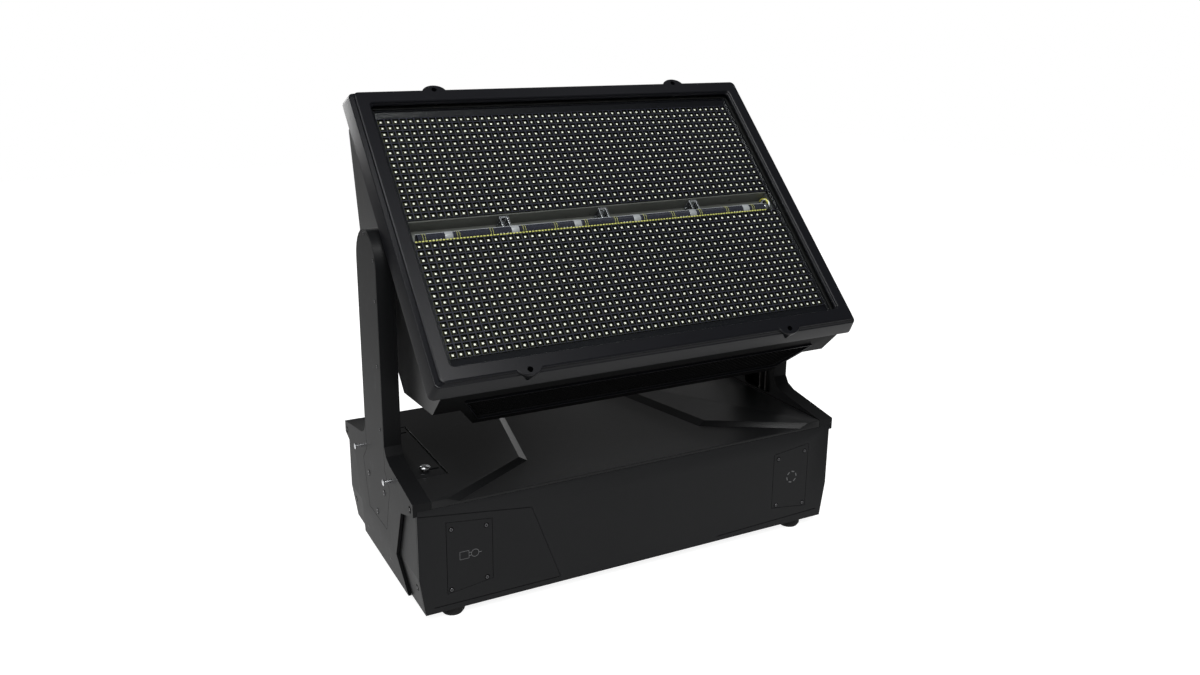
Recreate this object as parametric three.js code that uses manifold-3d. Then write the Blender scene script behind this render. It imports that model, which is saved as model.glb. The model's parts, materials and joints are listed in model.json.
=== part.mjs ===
// Motorised-tilt strobe light: a long base, two arms and a tilting lamp head with two fields of lamps.
// Millimetres, +X to the right, +Y to the back, +Z up. The origin is the centre of the base's underside.
import * as THREE from 'three';
import { mergeVertices } from 'three/addons/utils/BufferGeometryUtils.js';
import Module from 'manifold-3d';

const wasm = await Module();
wasm.setup();

// Gaps and cuts
const seat_gap = 0.3;
const slide_gap = 0.5;
const overrun = 6;
const casting_lap = 2;

// Facets of round shapes: large, ordinary and small ones
const large_sides = 28;
const round_sides = 22;
const small_sides = 14;

// Base
const base_length = 442;
const base_depth = 211;
const deck_height = 105;
const tray_drop = 4.5;
const deck_sheet = 2.4;
const tub_wall = 2.5;
const tub_fold_height = 34.8;
const tub_end_lean = 5;
const floor_press = 1.5;
const floor_rim = 7;
const pad_end_inset = 68;
const pad_half_depth = 85;
const pad_corner = 10;
const panel_sheet = 2.5;
const bracket_slot_length = 16;
const bracket_slot_width = 7;
const bracket_slot_reach_x = 62;
const bracket_slot_reach_y = 58;

// Decks at the two ends of the top cover, as seen from above, inwards from the arms
const deck_front_inset = 14.5;
const deck_corner_inset = 103.3;
const deck_corner_back = 51.7;
const deck_back_inset = 138.5;
const riser_front_run = 10;
const riser_side_run = 8;

// Feet
const foot_radius = 11;
const foot_tread_radius = 9;
const foot_height = 9.2;
const foot_inset_x = 37;
const foot_inset_y = 13.5;
const foot_taper_share = 0.67;

// Yoke castings: end plate, rail, flares and arm
const yoke_width = 16;
const yoke_skin = 3;
const yoke_wall = 3;
const rail_drop_front = 11.5;
const plate_top_reach = 72;
const plate_top_drop = 22;
const plate_fold_reach = 53;
const plate_foot_reach = 68;
const arm_half_depth = 30;
const arm_wall = 3.5;
const flare_rise = 13.2;
const flare_round = 14;
const flare_bend_share = 0.33;
const flare_lift_share = 0.2;
const flare_top_share = 0.67;
const pivot_rise = 182.5;
const wiring_half_width = 22;
const wiring_forward = 2.5;
const wiring_sill = 1.5;
const wiring_height = 40;
const wiring_corner = 5;

// Yoke covers with their tongue over the end plate
const cover_sheet = 3;
const cover_margin = 1.5;
const tongue_neck_drop = 1;
const tongue_wide_drop = 14;
const tongue_wide_reach = 41;
const tongue_foot_height = 47;
const tongue_foot_reach = 27;

// Shoulder studs on the left end
const stud_radius = 1.7;
const stud_head_radius = 2.9;
const stud_head_length = 1.8;
const stud_reach = 7.2;
const stud_offset = 45;
const stud_drop = 3.5;

// Tilt drive in the left arm
const axle_flange_radius = 22;
const axle_flange_length = 3.1;
const axle_radius = 10;
const axle_bore_radius = 6;
const bearing_radius = 14;
const bearing_width = 8;
const boss_wall = 2.7;
const driven_radius = 24;
const drive_radius = 12;
const pulley_width = 8.4;
const pulley_web = 3;
const belt_width = 6.6;
const belt_thickness = 1.3;
const drive_drop = 31;
const motor_size = 42;
const motor_corner = 5;
const motor_length = 46;
const motor_spigot_radius = 11;
const motor_shaft_radius = 2.5;
const motor_tab_drop = 55;
const motor_tab_reach = 30;
const drive_window_reach = 24;

// Front access covers, inwards from the ends, their outer edge taller than their inner one
const access_outer_inset = 28.6;
const access_inner_inset = 70.4;
const access_outer_drop = 22.4;
const access_inner_drop = 27.2;
const access_inner_foot = 21;
const access_outer_foot = 15.6;
const access_sheet = 1.6;
const access_ledge = 6;

// Service hatch in the left deck, inwards from the arm, with its two quarter-turn fasteners
const hatch_near_inset = 32.5;
const hatch_far_inset = 4;
const hatch_middle_y = 2;
const hatch_half_length = 60.5;
const hatch_sheet = 2;
const hatch_ledge = 4;
const hatch_ledge_relief = 1;
const fastener_inset = 16;
const fastener_offset = 46;
const fastener_radius = 5;
const fastener_rise = 2.4;
const fastener_dome = 2.8;
const fastener_stem_radius = 2.9;
const latch_length = 19;
const latch_width = 4;
const latch_thickness = 1.8;
const hatch_slot_length = 9.5;
const hatch_slot_width = 3;

// Rear panel, its sockets in a row beside the control panel
const control_inset = 99;
const control_z = 51;
const control_length = 100;
const control_height = 64;
const control_sheet = 3;
const control_box_depth = 10;
const control_box_margin = 8;
const display_length = 48;
const display_height = 24;
const display_rise = 10;
const display_sheet = 1.5;
const button_radius = 4;
const button_proud = 1.6;
const button_length = 7;
const button_pitch = 19;
const button_drop = 18;
const button_travel = 1.2;
const socket_flange_length = 26;
const socket_flange_height = 31;
const socket_flange_sheet = 2;
const socket_barrel_radius = 12;
const socket_depth = 21;
const socket_height = 51;
const data_bore_radius = 8.5;
const power_bore_radius = 9.8;
const bore_depth = 14;
const network_length = 13;
const network_height = 11;
const network_bore_share = 0.33;
const data_inlet_step = 82;
const data_outlet_step = 34;
const network_step = 34;
const power_inlet_step = 56;
const power_outlet_step = 38;

// Electronics in the base
const supply_length = 210;
const supply_depth = 110;
const supply_height = 48;
const supply_x = 40;
const supply_y = -26;
const supply_terminal_share = 0.08;
const board_length = 78;
const board_depth = 130;
const board_sheet = 1.6;
const board_x = -107;
const standoff_radius = 3;
const standoff_height = 6;
const standoff_inset = 6;
const board_chip_height = 9;
const chip_near_share = 0.25;
const chip_far_share = 0.5;
const chip_front_share = 0.2;

// Lamp head, seen along its face: u across, v up, and w forward of the lamps' plane
const lamp_offset = 42;
const rest_tilt_deg = 45;
const head_side_gap = 4;
const bezel_overhang_u = 11.6;
const bezel_overhang_v = 2.6;
const bezel_face_u = 19.2;
const bezel_face_v = 18.5;
const bezel_front_w = 11;
const bezel_back_w = -8.5;
const bezel_rim_inset_u = 6.6;
const bezel_rim_inset_v = 5;
const bezel_step = 2.6;
const bezel_ridge_w = 6.6;
const bezel_ridge_inset_u = 2.1;
const bezel_ridge_inset_v = 3;
const bezel_shoulder_w = 1;
const bezel_edge = 1.4;
const bezel_wall = 2;
const bezel_corner = 8;
const rim_corner = 5;
const glass_sheet = 3.5;
const glass_back_w = 2.5;
const glass_lap = 3.5;
const glass_ledge = 7;
const ear_u = 130;
const ear_proud = 0.4;
const ear_half_width = 13;
const ear_root_share = 0.3;
const ear_root_sink_share = 0.25;
const ear_shoulder_share = 0.67;
const ear_tip_share = 0.5;
const ear_hole_radius = 2.6;
const ear_hole_depth = 5;
const gasket_width = 4.5;
const lamp_board_sheet = 2.2;
const lamp_board_w = -1.5;
const lamp_board_margin = 1.5;
const trough_half = 12;
const trough_depth = 15.5;
const trough_wall = 1.2;
const tube_radius = 4.75;
const tube_v = -4.8;
const tube_w = -5.5;
const tube_end_gap = 9.4;
const trough_end_gap = 4.5;
const saddle_count = 6;
const saddle_pitch_share = 0.339;
const saddle_length = 7.5;
const saddle_low_share = 0.75;
const strip_thickness = 1.2;
const strip_depth = 2;
const clip_pitch = 100;
const clip_length = 8.5;
const clip_wall = 1.5;
const clip_top_v = 9.5;
const clip_low_v = -3;

// Louvre over both lamp fields: one moulding with its main bars only
const louvre_gap = 0.5;
const louvre_front_w = 0.6;
const louvre_end_rail = 2.9;
const louvre_side_rail = 8.85;
const louvre_bar = 1.2;
const louvre_columns = 18;
const louvre_rows = 4;
const louvre_slot_lap = 0.25;

// Heat sink, fans and housing of the head
const sink_plate = 6;
const sink_corner = 6;
const sink_fin_depth = 35;
const sink_fin = 2;
const sink_fin_pitch = 16;
const sink_fin_margin = 9;
const sink_fin_half_length = 120;
const fan_size = 120;
const fan_depth = 25;
const fan_u = 75;
const fan_v = -20;
const fan_bore_radius = 57;
const fan_hub_radius = 19;
const fan_tip_gap = 1.5;
const fan_front_gap = 1.2;
const fan_strut = 4;
const fan_spider = 3;
const fan_pin_radius = 2;
const blade_count = 7;
const blade_chord = 20;
const blade_thickness = 2;
const blade_pitch_deg = 35;
const housing_wall = 2.5;
const housing_bend_share = 0.33;
const housing_v = 150;
const housing_depth_w = -99;
const housing_front_w = -6;
const housing_low_bend_w = -43;
const housing_low_back_v = -101;
const housing_high_bend_w = -45;
const housing_high_back_v = 62;
const hood_front_inset = 24.2;
const hood_back_inset = 43.4;
const hood_back_w = -75;
const hood_top_v = -112;
const vent_front_w = -27;
const vent_back_w = -63;
const vent_front_inset = 24.8;
const vent_back_inset = 45.6;
const vent_lap = 3;
const vent_sheet = 1.2;
const rear_opening_margin = 16;
const rear_cover_margin = 6;
const rear_cover_sheet = 2.5;
const rear_slot_width = 4;
const rear_slot_pitch = 9;
const rear_slot_radius = 54;

// Places that follow from the sizes above
const half_length = base_length / 2;
const half_depth = base_depth / 2;
const tray_height = deck_height - tray_drop;
const deck_underside = tray_height - deck_sheet;
const shell_top = deck_underside - seat_gap;
const yoke_inner_x = half_length - yoke_width;
const plate_inner_x = half_length - yoke_skin;
const tub_half_length = plate_inner_x - seat_gap;
const wall_inner_x = yoke_inner_x + yoke_wall;
const ledge_foot = deck_height - hatch_sheet - deck_sheet;
const drive_height = deck_height - drive_drop;
const stud_height = deck_height - stud_drop;
const wiring_foot = deck_height + wiring_sill;
const flare_height = deck_height + flare_rise;
const tongue_neck_height = deck_height - tongue_neck_drop;
const tongue_wide_height = deck_height - tongue_wide_drop;
const plate_top_height = deck_height - plate_top_drop;
const motor_tab_foot = deck_height - motor_tab_drop;
const access_outer_top = deck_height - access_outer_drop;
const access_inner_top = deck_height - access_inner_drop;
const pivot_height = deck_height + pivot_rise;
const deck_front_reach = yoke_inner_x - deck_front_inset;
const deck_corner_reach = yoke_inner_x - deck_corner_inset;
const deck_back_reach = yoke_inner_x - deck_back_inset;
const access_outer_x = half_length - access_outer_inset;
const access_inner_x = half_length - access_inner_inset;
const hatch_near_x = yoke_inner_x - hatch_near_inset;
const hatch_far_x = yoke_inner_x - hatch_far_inset;
const fastener_x = yoke_inner_x - fastener_inset;
const control_x = half_length - control_inset;
const data_inlet_x = control_x - data_inlet_step;
const data_outlet_x = data_inlet_x - data_outlet_step;
const network_x = data_outlet_x - network_step;
const power_inlet_x = network_x - power_inlet_step;
const power_outlet_x = power_inlet_x - power_outlet_step;
const housing_u = yoke_inner_x - head_side_gap;
const bezel_outer_u = housing_u + bezel_overhang_u;
const bezel_outer_v = housing_v + bezel_overhang_v;
const bezel_rim_u = bezel_outer_u - bezel_rim_inset_u;
const bezel_rim_v = bezel_outer_v - bezel_rim_inset_v;
const bezel_ridge_u = bezel_outer_u - bezel_ridge_inset_u;
const bezel_ridge_v = bezel_outer_v - bezel_ridge_inset_v;
const aperture_u = bezel_outer_u - bezel_face_u;
const aperture_v = bezel_outer_v - bezel_face_v;
const ear_reach = bezel_outer_v + ear_proud;
const tube_half_length = aperture_u - tube_end_gap;
const saddle_pitch = tube_half_length * saddle_pitch_share;
const hood_front_u = housing_u - hood_front_inset;
const hood_back_u = housing_u - hood_back_inset;
const vent_front_u = housing_u - vent_front_inset;
const vent_back_u = housing_u - vent_back_inset;
const head_y = w => -(lamp_offset + w);

const model = new THREE.Group();
const head = new THREE.Group();
head.position.set(0, 0, pivot_height);
head.rotation.x = THREE.MathUtils.degToRad(-rest_tilt_deg);
model.add(head);

// Materials
function finish(color, roughness, metalness) {
  return new THREE.MeshStandardMaterial({ color, roughness, metalness });
}
const powder_coat = finish(0x1b1c1e, 0.5, 0.4);
const bezel_coat = finish(0x24262b, 0.45, 0.4);
const rubber = finish(0x0f0f10, 0.9, 0);
const plated_steel = finish(0xc9cbcf, 0.25, 1);
const bare_aluminium = finish(0xa9adb1, 0.4, 1);
const black_plastic = finish(0x141416, 0.6, 0);
const clear_glass = new THREE.MeshStandardMaterial({
  color: 0xe8eef2,
  roughness: 0.05,
  metalness: 0,
  transparent: true,
  opacity: 0.3,
});
const lamp_board = finish(0x2c2c26, 0.6, 0);
const reflector_coat = finish(0x3a3b3d, 0.35, 0.6);
const circuit_green = finish(0x1f4a2c, 0.5, 0.1);
const display_black = finish(0x05070a, 0.1, 0);

function add(parent, name, geometry, material) {
  const mesh = new THREE.Mesh(geometry, material);
  mesh.name = name;
  parent.add(mesh);
}

// Booleans
function toSolid(geometry) {
  const bare = geometry.clone();
  bare.deleteAttribute('normal');
  bare.deleteAttribute('uv');
  const merged = mergeVertices(bare);
  return new wasm.Manifold(new wasm.Mesh({
    numProp: 3,
    vertProperties: new Float32Array(merged.attributes.position.array),
    triVerts: new Uint32Array(merged.index.array),
  }));
}

function toGeometry(solid) {
  const mesh = solid.getMesh();
  const geometry = new THREE.BufferGeometry();
  geometry.setAttribute('position', new THREE.BufferAttribute(mesh.vertProperties, 3));
  geometry.setIndex(new THREE.BufferAttribute(mesh.triVerts, 1));
  geometry.computeVertexNormals();
  return geometry;
}

function join(...geometries) {
  return toGeometry(geometries.map(toSolid).reduce((sum, next) => sum.add(next)));
}

function cut(geometry, ...tools) {
  return toGeometry(tools.map(toSolid).reduce((rest, tool) => rest.subtract(tool), toSolid(geometry)));
}

function common(first, second) {
  return toGeometry(toSolid(first).intersect(toSolid(second)));
}

// The same shape on the other side of the X = 0 plane
function mirrored(geometry) {
  const copy = geometry.index ? geometry.clone() : mergeVertices(geometry);
  copy.scale(-1, 1, 1);
  const index = copy.index.array;
  for (let i = 0; i < index.length; i += 3) {
    [index[i], index[i + 1]] = [index[i + 1], index[i]];
  }
  copy.computeVertexNormals();
  return copy;
}

// Outlines, as lists of points
function arc(a, b, radius, from_deg, to_deg, steps) {
  const points = [];
  for (let i = 0; i <= steps; i += 1) {
    const angle = THREE.MathUtils.degToRad(from_deg + (to_deg - from_deg) * i / steps);
    points.push([a + radius * Math.cos(angle), b + radius * Math.sin(angle)]);
  }
  return points;
}

function circle(a, b, radius, sides = round_sides) {
  return arc(a, b, radius, 0, 360, sides).slice(0, -1);
}

function rectangle(a0, a1, b0, b1) {
  return [[a0, b0], [a1, b0], [a1, b1], [a0, b1]];
}

function roundedRectangle(half_a, half_b, radius, steps = 3) {
  return [
    ...arc(half_a - radius, half_b - radius, radius, 0, 90, steps),
    ...arc(radius - half_a, half_b - radius, radius, 90, 180, steps),
    ...arc(radius - half_a, radius - half_b, radius, 180, 270, steps),
    ...arc(half_a - radius, radius - half_b, radius, 270, 360, steps),
  ];
}

function racetrack(a, b, length, width) {
  const radius = width / 2;
  const reach = length / 2 - radius;
  return [...arc(a + reach, b, radius, -90, 90, 4), ...arc(a - reach, b, radius, 90, 270, 4)];
}

// An outline drawn for the +side and repeated, reversed, on the -side
function bothSides(points) {
  return [...points, ...points.map(([a, b]) => [-a, b]).reverse()];
}

// Slabs: an outline pulled along one axis
function slab(outline, depth, holes) {
  const shape = new THREE.Shape(outline.map(([a, b]) => new THREE.Vector2(a, b)));
  for (const hole of holes) {
    shape.holes.push(new THREE.Path(hole.map(([a, b]) => new THREE.Vector2(a, b))));
  }
  return new THREE.ExtrudeGeometry(shape, { depth, bevelEnabled: false });
}

function slabZ(outline, z0, z1, holes = []) {
  return slab(outline, z1 - z0, holes).translate(0, 0, z0);
}

function slabX(outline, x0, x1, holes = []) {
  const turn = new THREE.Matrix4().set(0, 0, 1, 0, 1, 0, 0, 0, 0, 1, 0, 0, 0, 0, 0, 1);
  return slab(outline, x1 - x0, holes).applyMatrix4(turn).translate(x0, 0, 0);
}

function slabY(outline, y0, y1, holes = []) {
  const turn = new THREE.Matrix4().set(1, 0, 0, 0, 0, 0, -1, 0, 0, 1, 0, 0, 0, 0, 0, 1);
  return slab(outline, y1 - y0, holes).applyMatrix4(turn).translate(0, y1, 0);
}

function block(x0, x1, y0, y1, z0, z1) {
  return slabZ(rectangle(x0, x1, y0, y1), z0, z1);
}

// Two outlines of as many points, one above the other, skinned together
function loft(low_outline, high_outline, z0, z1) {
  const flat = low_outline.map(([a, b]) => new THREE.Vector2(a, b));
  const turn = THREE.ShapeUtils.isClockWise(flat);
  const low = turn ? low_outline.slice().reverse() : low_outline;
  const high = turn ? high_outline.slice().reverse() : high_outline;
  const count = low.length;
  const positions = [];
  low.forEach(([a, b]) => positions.push(a, b, z0));
  high.forEach(([a, b]) => positions.push(a, b, z1));
  const index = [];
  for (let i = 0; i < count; i += 1) {
    const next = (i + 1) % count;
    index.push(i, next, count + next, i, count + next, count + i);
  }
  const caps = THREE.ShapeUtils.triangulateShape(low.map(([a, b]) => new THREE.Vector2(a, b)), []);
  for (const [p, q, r] of caps) {
    index.push(r, q, p, count + p, count + q, count + r);
  }
  const geometry = new THREE.BufferGeometry();
  geometry.setAttribute('position', new THREE.Float32BufferAttribute(positions, 3));
  geometry.setIndex(index);
  return geometry;
}

// A loft across the lamp head: outlines in (u, v), from depth w0 forward to w1
function headLoft(back_outline, front_outline, w0, w1) {
  return loft(back_outline, front_outline, w0, w1).rotateX(Math.PI / 2).translate(0, -lamp_offset, 0);
}

// A closed frame: levels of rounded rectangles, each with its half sizes, depth and corner radius
function frameRing(levels, corner_steps = 3) {
  const loops = levels.map(({ u, v, w, r }) => (
    roundedRectangle(u, v, r, corner_steps).map(([a, b]) => [a, head_y(w), b])
  ));
  const count = loops[0].length;
  const index = [];
  for (let level = 0; level < loops.length; level += 1) {
    const start = level * count;
    const after = ((level + 1) % loops.length) * count;
    for (let i = 0; i < count; i += 1) {
      const next = (i + 1) % count;
      index.push(start + i, after + next, start + next, start + i, after + i, after + next);
    }
  }
  const geometry = new THREE.BufferGeometry();
  geometry.setAttribute('position', new THREE.Float32BufferAttribute(loops.flat(2), 3));
  geometry.setIndex(index);
  return geometry;
}

// Base tub: floor and both end walls folded from one sheet. The floor is pressed in round a flat
// pad that brackets bolt to, so that the feet stand beside the pad and clear of it.
function tubOutline(grow) {
  return [
    [tub_half_length + grow, shell_top],
    [tub_half_length + grow, tub_fold_height],
    [tub_half_length - tub_end_lean + grow, -grow],
  ];
}

function baseTub() {
  const outer = tubOutline(0);
  const inner = tubOutline(-tub_wall);
  const section = [...outer, ...outer.map(([x, z]) => [-x, z]).reverse(),
    ...inner.map(([x, z]) => [-x, z]), ...inner.slice().reverse()];
  const reach = half_depth - panel_sheet - seat_gap;
  const pad_half_length = half_length - pad_end_inset;
  const press_reach = tub_half_length - tub_end_lean - floor_rim;
  const pressed_up = slabZ(rectangle(-press_reach - tub_wall, press_reach + tub_wall, -reach, reach),
    tub_wall / 2, tub_wall + floor_press,
    [roundedRectangle(pad_half_length - tub_wall, pad_half_depth - tub_wall, pad_corner - tub_wall)]);
  const pressed_in = slabZ(rectangle(-press_reach, press_reach, -half_depth, half_depth),
    -overrun, floor_press, [roundedRectangle(pad_half_length, pad_half_depth, pad_corner)]);
  const window_cut = block(-tub_half_length - overrun, -tub_half_length + tub_wall + overrun,
    -drive_window_reach, drive_window_reach, motor_tab_foot, shell_top + overrun);
  const slots = [];
  for (const side_x of [-1, 1]) {
    for (const side_y of [-1, 1]) {
      slots.push(slabZ(racetrack(side_x * bracket_slot_reach_x, side_y * bracket_slot_reach_y,
        bracket_slot_length, bracket_slot_width), -overrun, tub_wall + overrun));
    }
  }
  return cut(join(slabY(section, -reach, reach), pressed_up), pressed_in, window_cut, ...slots);
}
add(model, 'base_tub', baseTub(), powder_coat);

// Front and rear panels
function panelOutline() {
  return bothSides(tubOutline(0));
}

function accessOutline(grow) {
  return [
    [access_inner_x - grow, access_inner_foot - grow],
    [access_outer_x + grow, access_outer_foot - grow],
    [access_outer_x + grow, access_outer_top + grow],
    [access_inner_x - grow, access_inner_top + grow],
  ];
}

function frontPanel() {
  const pocket_back = -half_depth + access_sheet + seat_gap;
  const pocket = slabY(accessOutline(seat_gap), -half_depth - overrun, pocket_back);
  const opening = slabY(accessOutline(-access_ledge), -half_depth - overrun, -half_depth + overrun);
  return cut(slabY(panelOutline(), -half_depth, -half_depth + panel_sheet),
    pocket, opening, mirrored(pocket), mirrored(opening));
}
add(model, 'front_panel', frontPanel(), powder_coat);

const access_cover = slabY(accessOutline(0), -half_depth, -half_depth + access_sheet);
add(model, 'access_cover_right', access_cover, powder_coat);
add(model, 'access_cover_left', mirrored(access_cover), powder_coat);

const sockets = [
  { name: 'data_inlet', x: data_inlet_x, bore: data_bore_radius },
  { name: 'data_outlet', x: data_outlet_x, bore: data_bore_radius },
  { name: 'power_inlet', x: power_inlet_x, bore: power_bore_radius },
  { name: 'power_outlet', x: power_outlet_x, bore: power_bore_radius },
];

function rearPanel() {
  const box_half_length = control_length / 2 - control_box_margin + slide_gap;
  const box_half_height = control_height / 2 - control_box_margin + slide_gap;
  const holes = sockets.map(({ x }) => circle(x, socket_height, socket_barrel_radius + seat_gap));
  holes.push(circle(network_x, socket_height, socket_barrel_radius + seat_gap));
  holes.push(rectangle(control_x - box_half_length, control_x + box_half_length,
    control_z - box_half_height, control_z + box_half_height));
  return slabY(panelOutline(), half_depth - panel_sheet, half_depth, holes);
}
add(model, 'rear_panel', rearPanel(), powder_coat);

// Top cover: a sunken tray between two decks with sloping risers
function deckOutline(run_share) {
  const cover_half = yoke_inner_x - seat_gap;
  const front_run = riser_front_run * run_share;
  const side_run = riser_side_run * run_share;
  const front_slope = deck_corner_back / (deck_front_reach - deck_corner_reach);
  const side_lean = (deck_corner_reach - deck_back_reach) / (base_depth - deck_corner_back);
  const corner_y = front_slope * (side_run - front_run) / (1 - front_slope * side_lean);
  const corner_x = side_run + side_lean * corner_y;
  return [
    [-cover_half, -half_depth],
    [-deck_front_reach + front_run, -half_depth],
    [-deck_corner_reach + corner_x, -half_depth + deck_corner_back + corner_y],
    [-deck_back_reach + side_run, half_depth],
    [-cover_half, half_depth],
  ];
}

function hatchOutline(grow) {
  return rectangle(-hatch_far_x - grow, -hatch_near_x + grow,
    hatch_middle_y - hatch_half_length - grow, hatch_middle_y + hatch_half_length + grow);
}

function topCover() {
  const cover_half = yoke_inner_x - seat_gap;
  const tray = block(-cover_half, cover_half, -half_depth, half_depth, deck_underside, tray_height);
  const rise = loft(deckOutline(1), deckOutline(0), tray_height, deck_height);
  const deck = join(slabZ(deckOutline(1), deck_underside, tray_height), rise);
  const hollow_far = -hatch_near_x + hatch_ledge * 2;
  const hollow = slabZ([
    [hollow_far, -half_depth + deck_corner_back / 2],
    [-deck_corner_reach - riser_side_run, -half_depth + deck_corner_back + riser_side_run],
    [-deck_back_reach - riser_side_run * 2, half_depth - riser_side_run],
    [hollow_far, half_depth - riser_side_run],
  ], deck_underside - overrun, deck_height - deck_sheet);
  const hatch_seat = deck_height - hatch_sheet - seat_gap;
  return cut(join(tray, deck, mirrored(deck)), hollow, mirrored(hollow),
    slabZ(hatchOutline(seat_gap), hatch_seat, deck_height + overrun),
    slabZ(hatchOutline(-hatch_ledge), deck_underside - overrun, deck_height + overrun),
    slabZ(hatchOutline(hatch_ledge_relief), deck_underside - overrun, ledge_foot));
}
add(model, 'top_cover', topCover(), powder_coat);

// Service hatch and its fasteners
const fastener_places = [
  { name: 'hatch_fastener_front', y: hatch_middle_y - fastener_offset },
  { name: 'hatch_fastener_rear', y: hatch_middle_y + fastener_offset },
];
const slot_x = -hatch_near_x - hatch_ledge - hatch_slot_length / 2 + slide_gap * 2;

function serviceHatch() {
  const holes = [];
  for (const { y } of fastener_places) {
    holes.push(circle(-fastener_x, y, fastener_stem_radius + seat_gap, small_sides));
    holes.push(racetrack(slot_x, y, hatch_slot_length, hatch_slot_width));
  }
  return slabZ(hatchOutline(0), deck_height - hatch_sheet, deck_height, holes);
}
add(model, 'service_hatch', serviceHatch(), powder_coat);

function hatchFastener(y) {
  const dome_steps = 5;
  const foot = deck_height + fastener_rise;
  const profile = [new THREE.Vector2(0, foot)];
  for (let i = 0; i <= dome_steps; i += 1) {
    const angle = Math.PI / 2 * i / dome_steps;
    const dome_rise = fastener_dome * Math.sin(angle);
    profile.push(new THREE.Vector2(fastener_radius * Math.cos(angle), foot + dome_rise));
  }
  profile[profile.length - 1].x = 0;
  const dome = new THREE.LatheGeometry(profile, round_sides).rotateX(Math.PI / 2);
  const latch_top = ledge_foot - seat_gap;
  const stem = slabZ(circle(0, 0, fastener_stem_radius, small_sides),
    latch_top - latch_thickness, foot + fastener_dome / 2);
  const latch = block(-latch_length / 2, latch_length / 2, -latch_width / 2, latch_width / 2,
    latch_top - latch_thickness, latch_top);
  return join(dome, stem, latch).translate(-fastener_x, y, 0);
}
for (const { name, y } of fastener_places) {
  add(model, name, hatchFastener(y), plated_steel);
}

// Feet
function foot(x, y) {
  const profile = [
    new THREE.Vector2(0, -foot_height),
    new THREE.Vector2(foot_tread_radius, -foot_height),
    new THREE.Vector2(foot_radius, -foot_height * foot_taper_share),
    new THREE.Vector2(foot_radius, floor_press - seat_gap),
    new THREE.Vector2(0, floor_press - seat_gap),
  ];
  return new THREE.LatheGeometry(profile, round_sides).rotateX(Math.PI / 2).translate(x, y, 0);
}
for (const [side_x, left_right] of [[-1, 'left'], [1, 'right']]) {
  for (const [side_y, front_rear] of [[-1, 'front'], [1, 'rear']]) {
    add(model, `foot_${front_rear}_${left_right}`,
      foot(side_x * (half_length - foot_inset_x), side_y * (half_depth - foot_inset_y)), rubber);
  }
}

// Yoke castings, drawn for the left end in the plane of the arm (Y, Z)
function armOutline(grow, foot_z) {
  return [
    ...arc(0, pivot_height, arm_half_depth + grow, 0, 180, large_sides / 2),
    [-arm_half_depth - grow, foot_z],
    [arm_half_depth + grow, foot_z],
  ];
}

function flareOutline() {
  const slope = (flare_height - deck_height) / (half_depth - arm_half_depth);
  const bend = [
    [arm_half_depth + flare_round, flare_height - slope * flare_round],
    [arm_half_depth + flare_round * flare_bend_share,
      flare_height + flare_round * (flare_lift_share - slope * flare_bend_share)],
    [arm_half_depth, flare_height + flare_round * flare_top_share],
  ];
  return bothSides([[half_depth, shell_top], [half_depth, deck_height], ...bend,
    [arm_half_depth, pivot_height]]);
}

function coverOutline(grow) {
  const half = arm_half_depth - cover_margin;
  return [
    ...arc(0, pivot_height, half + grow, 0, 180, large_sides / 2),
    ...[
      [half + grow, tongue_neck_height + grow],
      [tongue_wide_reach + grow, tongue_wide_height],
      [tongue_foot_reach + grow, tongue_foot_height - grow],
    ].map(([y, z]) => [-y, z]),
    [tongue_foot_reach + grow, tongue_foot_height - grow],
    [tongue_wide_reach + grow, tongue_wide_height],
    [half + grow, tongue_neck_height + grow],
  ];
}

// The opening in the inner side of the right arm that the head's wiring passes
function wiringOutline() {
  return roundedRectangle(wiring_half_width, wiring_height / 2, wiring_corner)
    .map(([y, z]) => [y - wiring_forward, z + wiring_foot + wiring_height / 2]);
}

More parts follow.
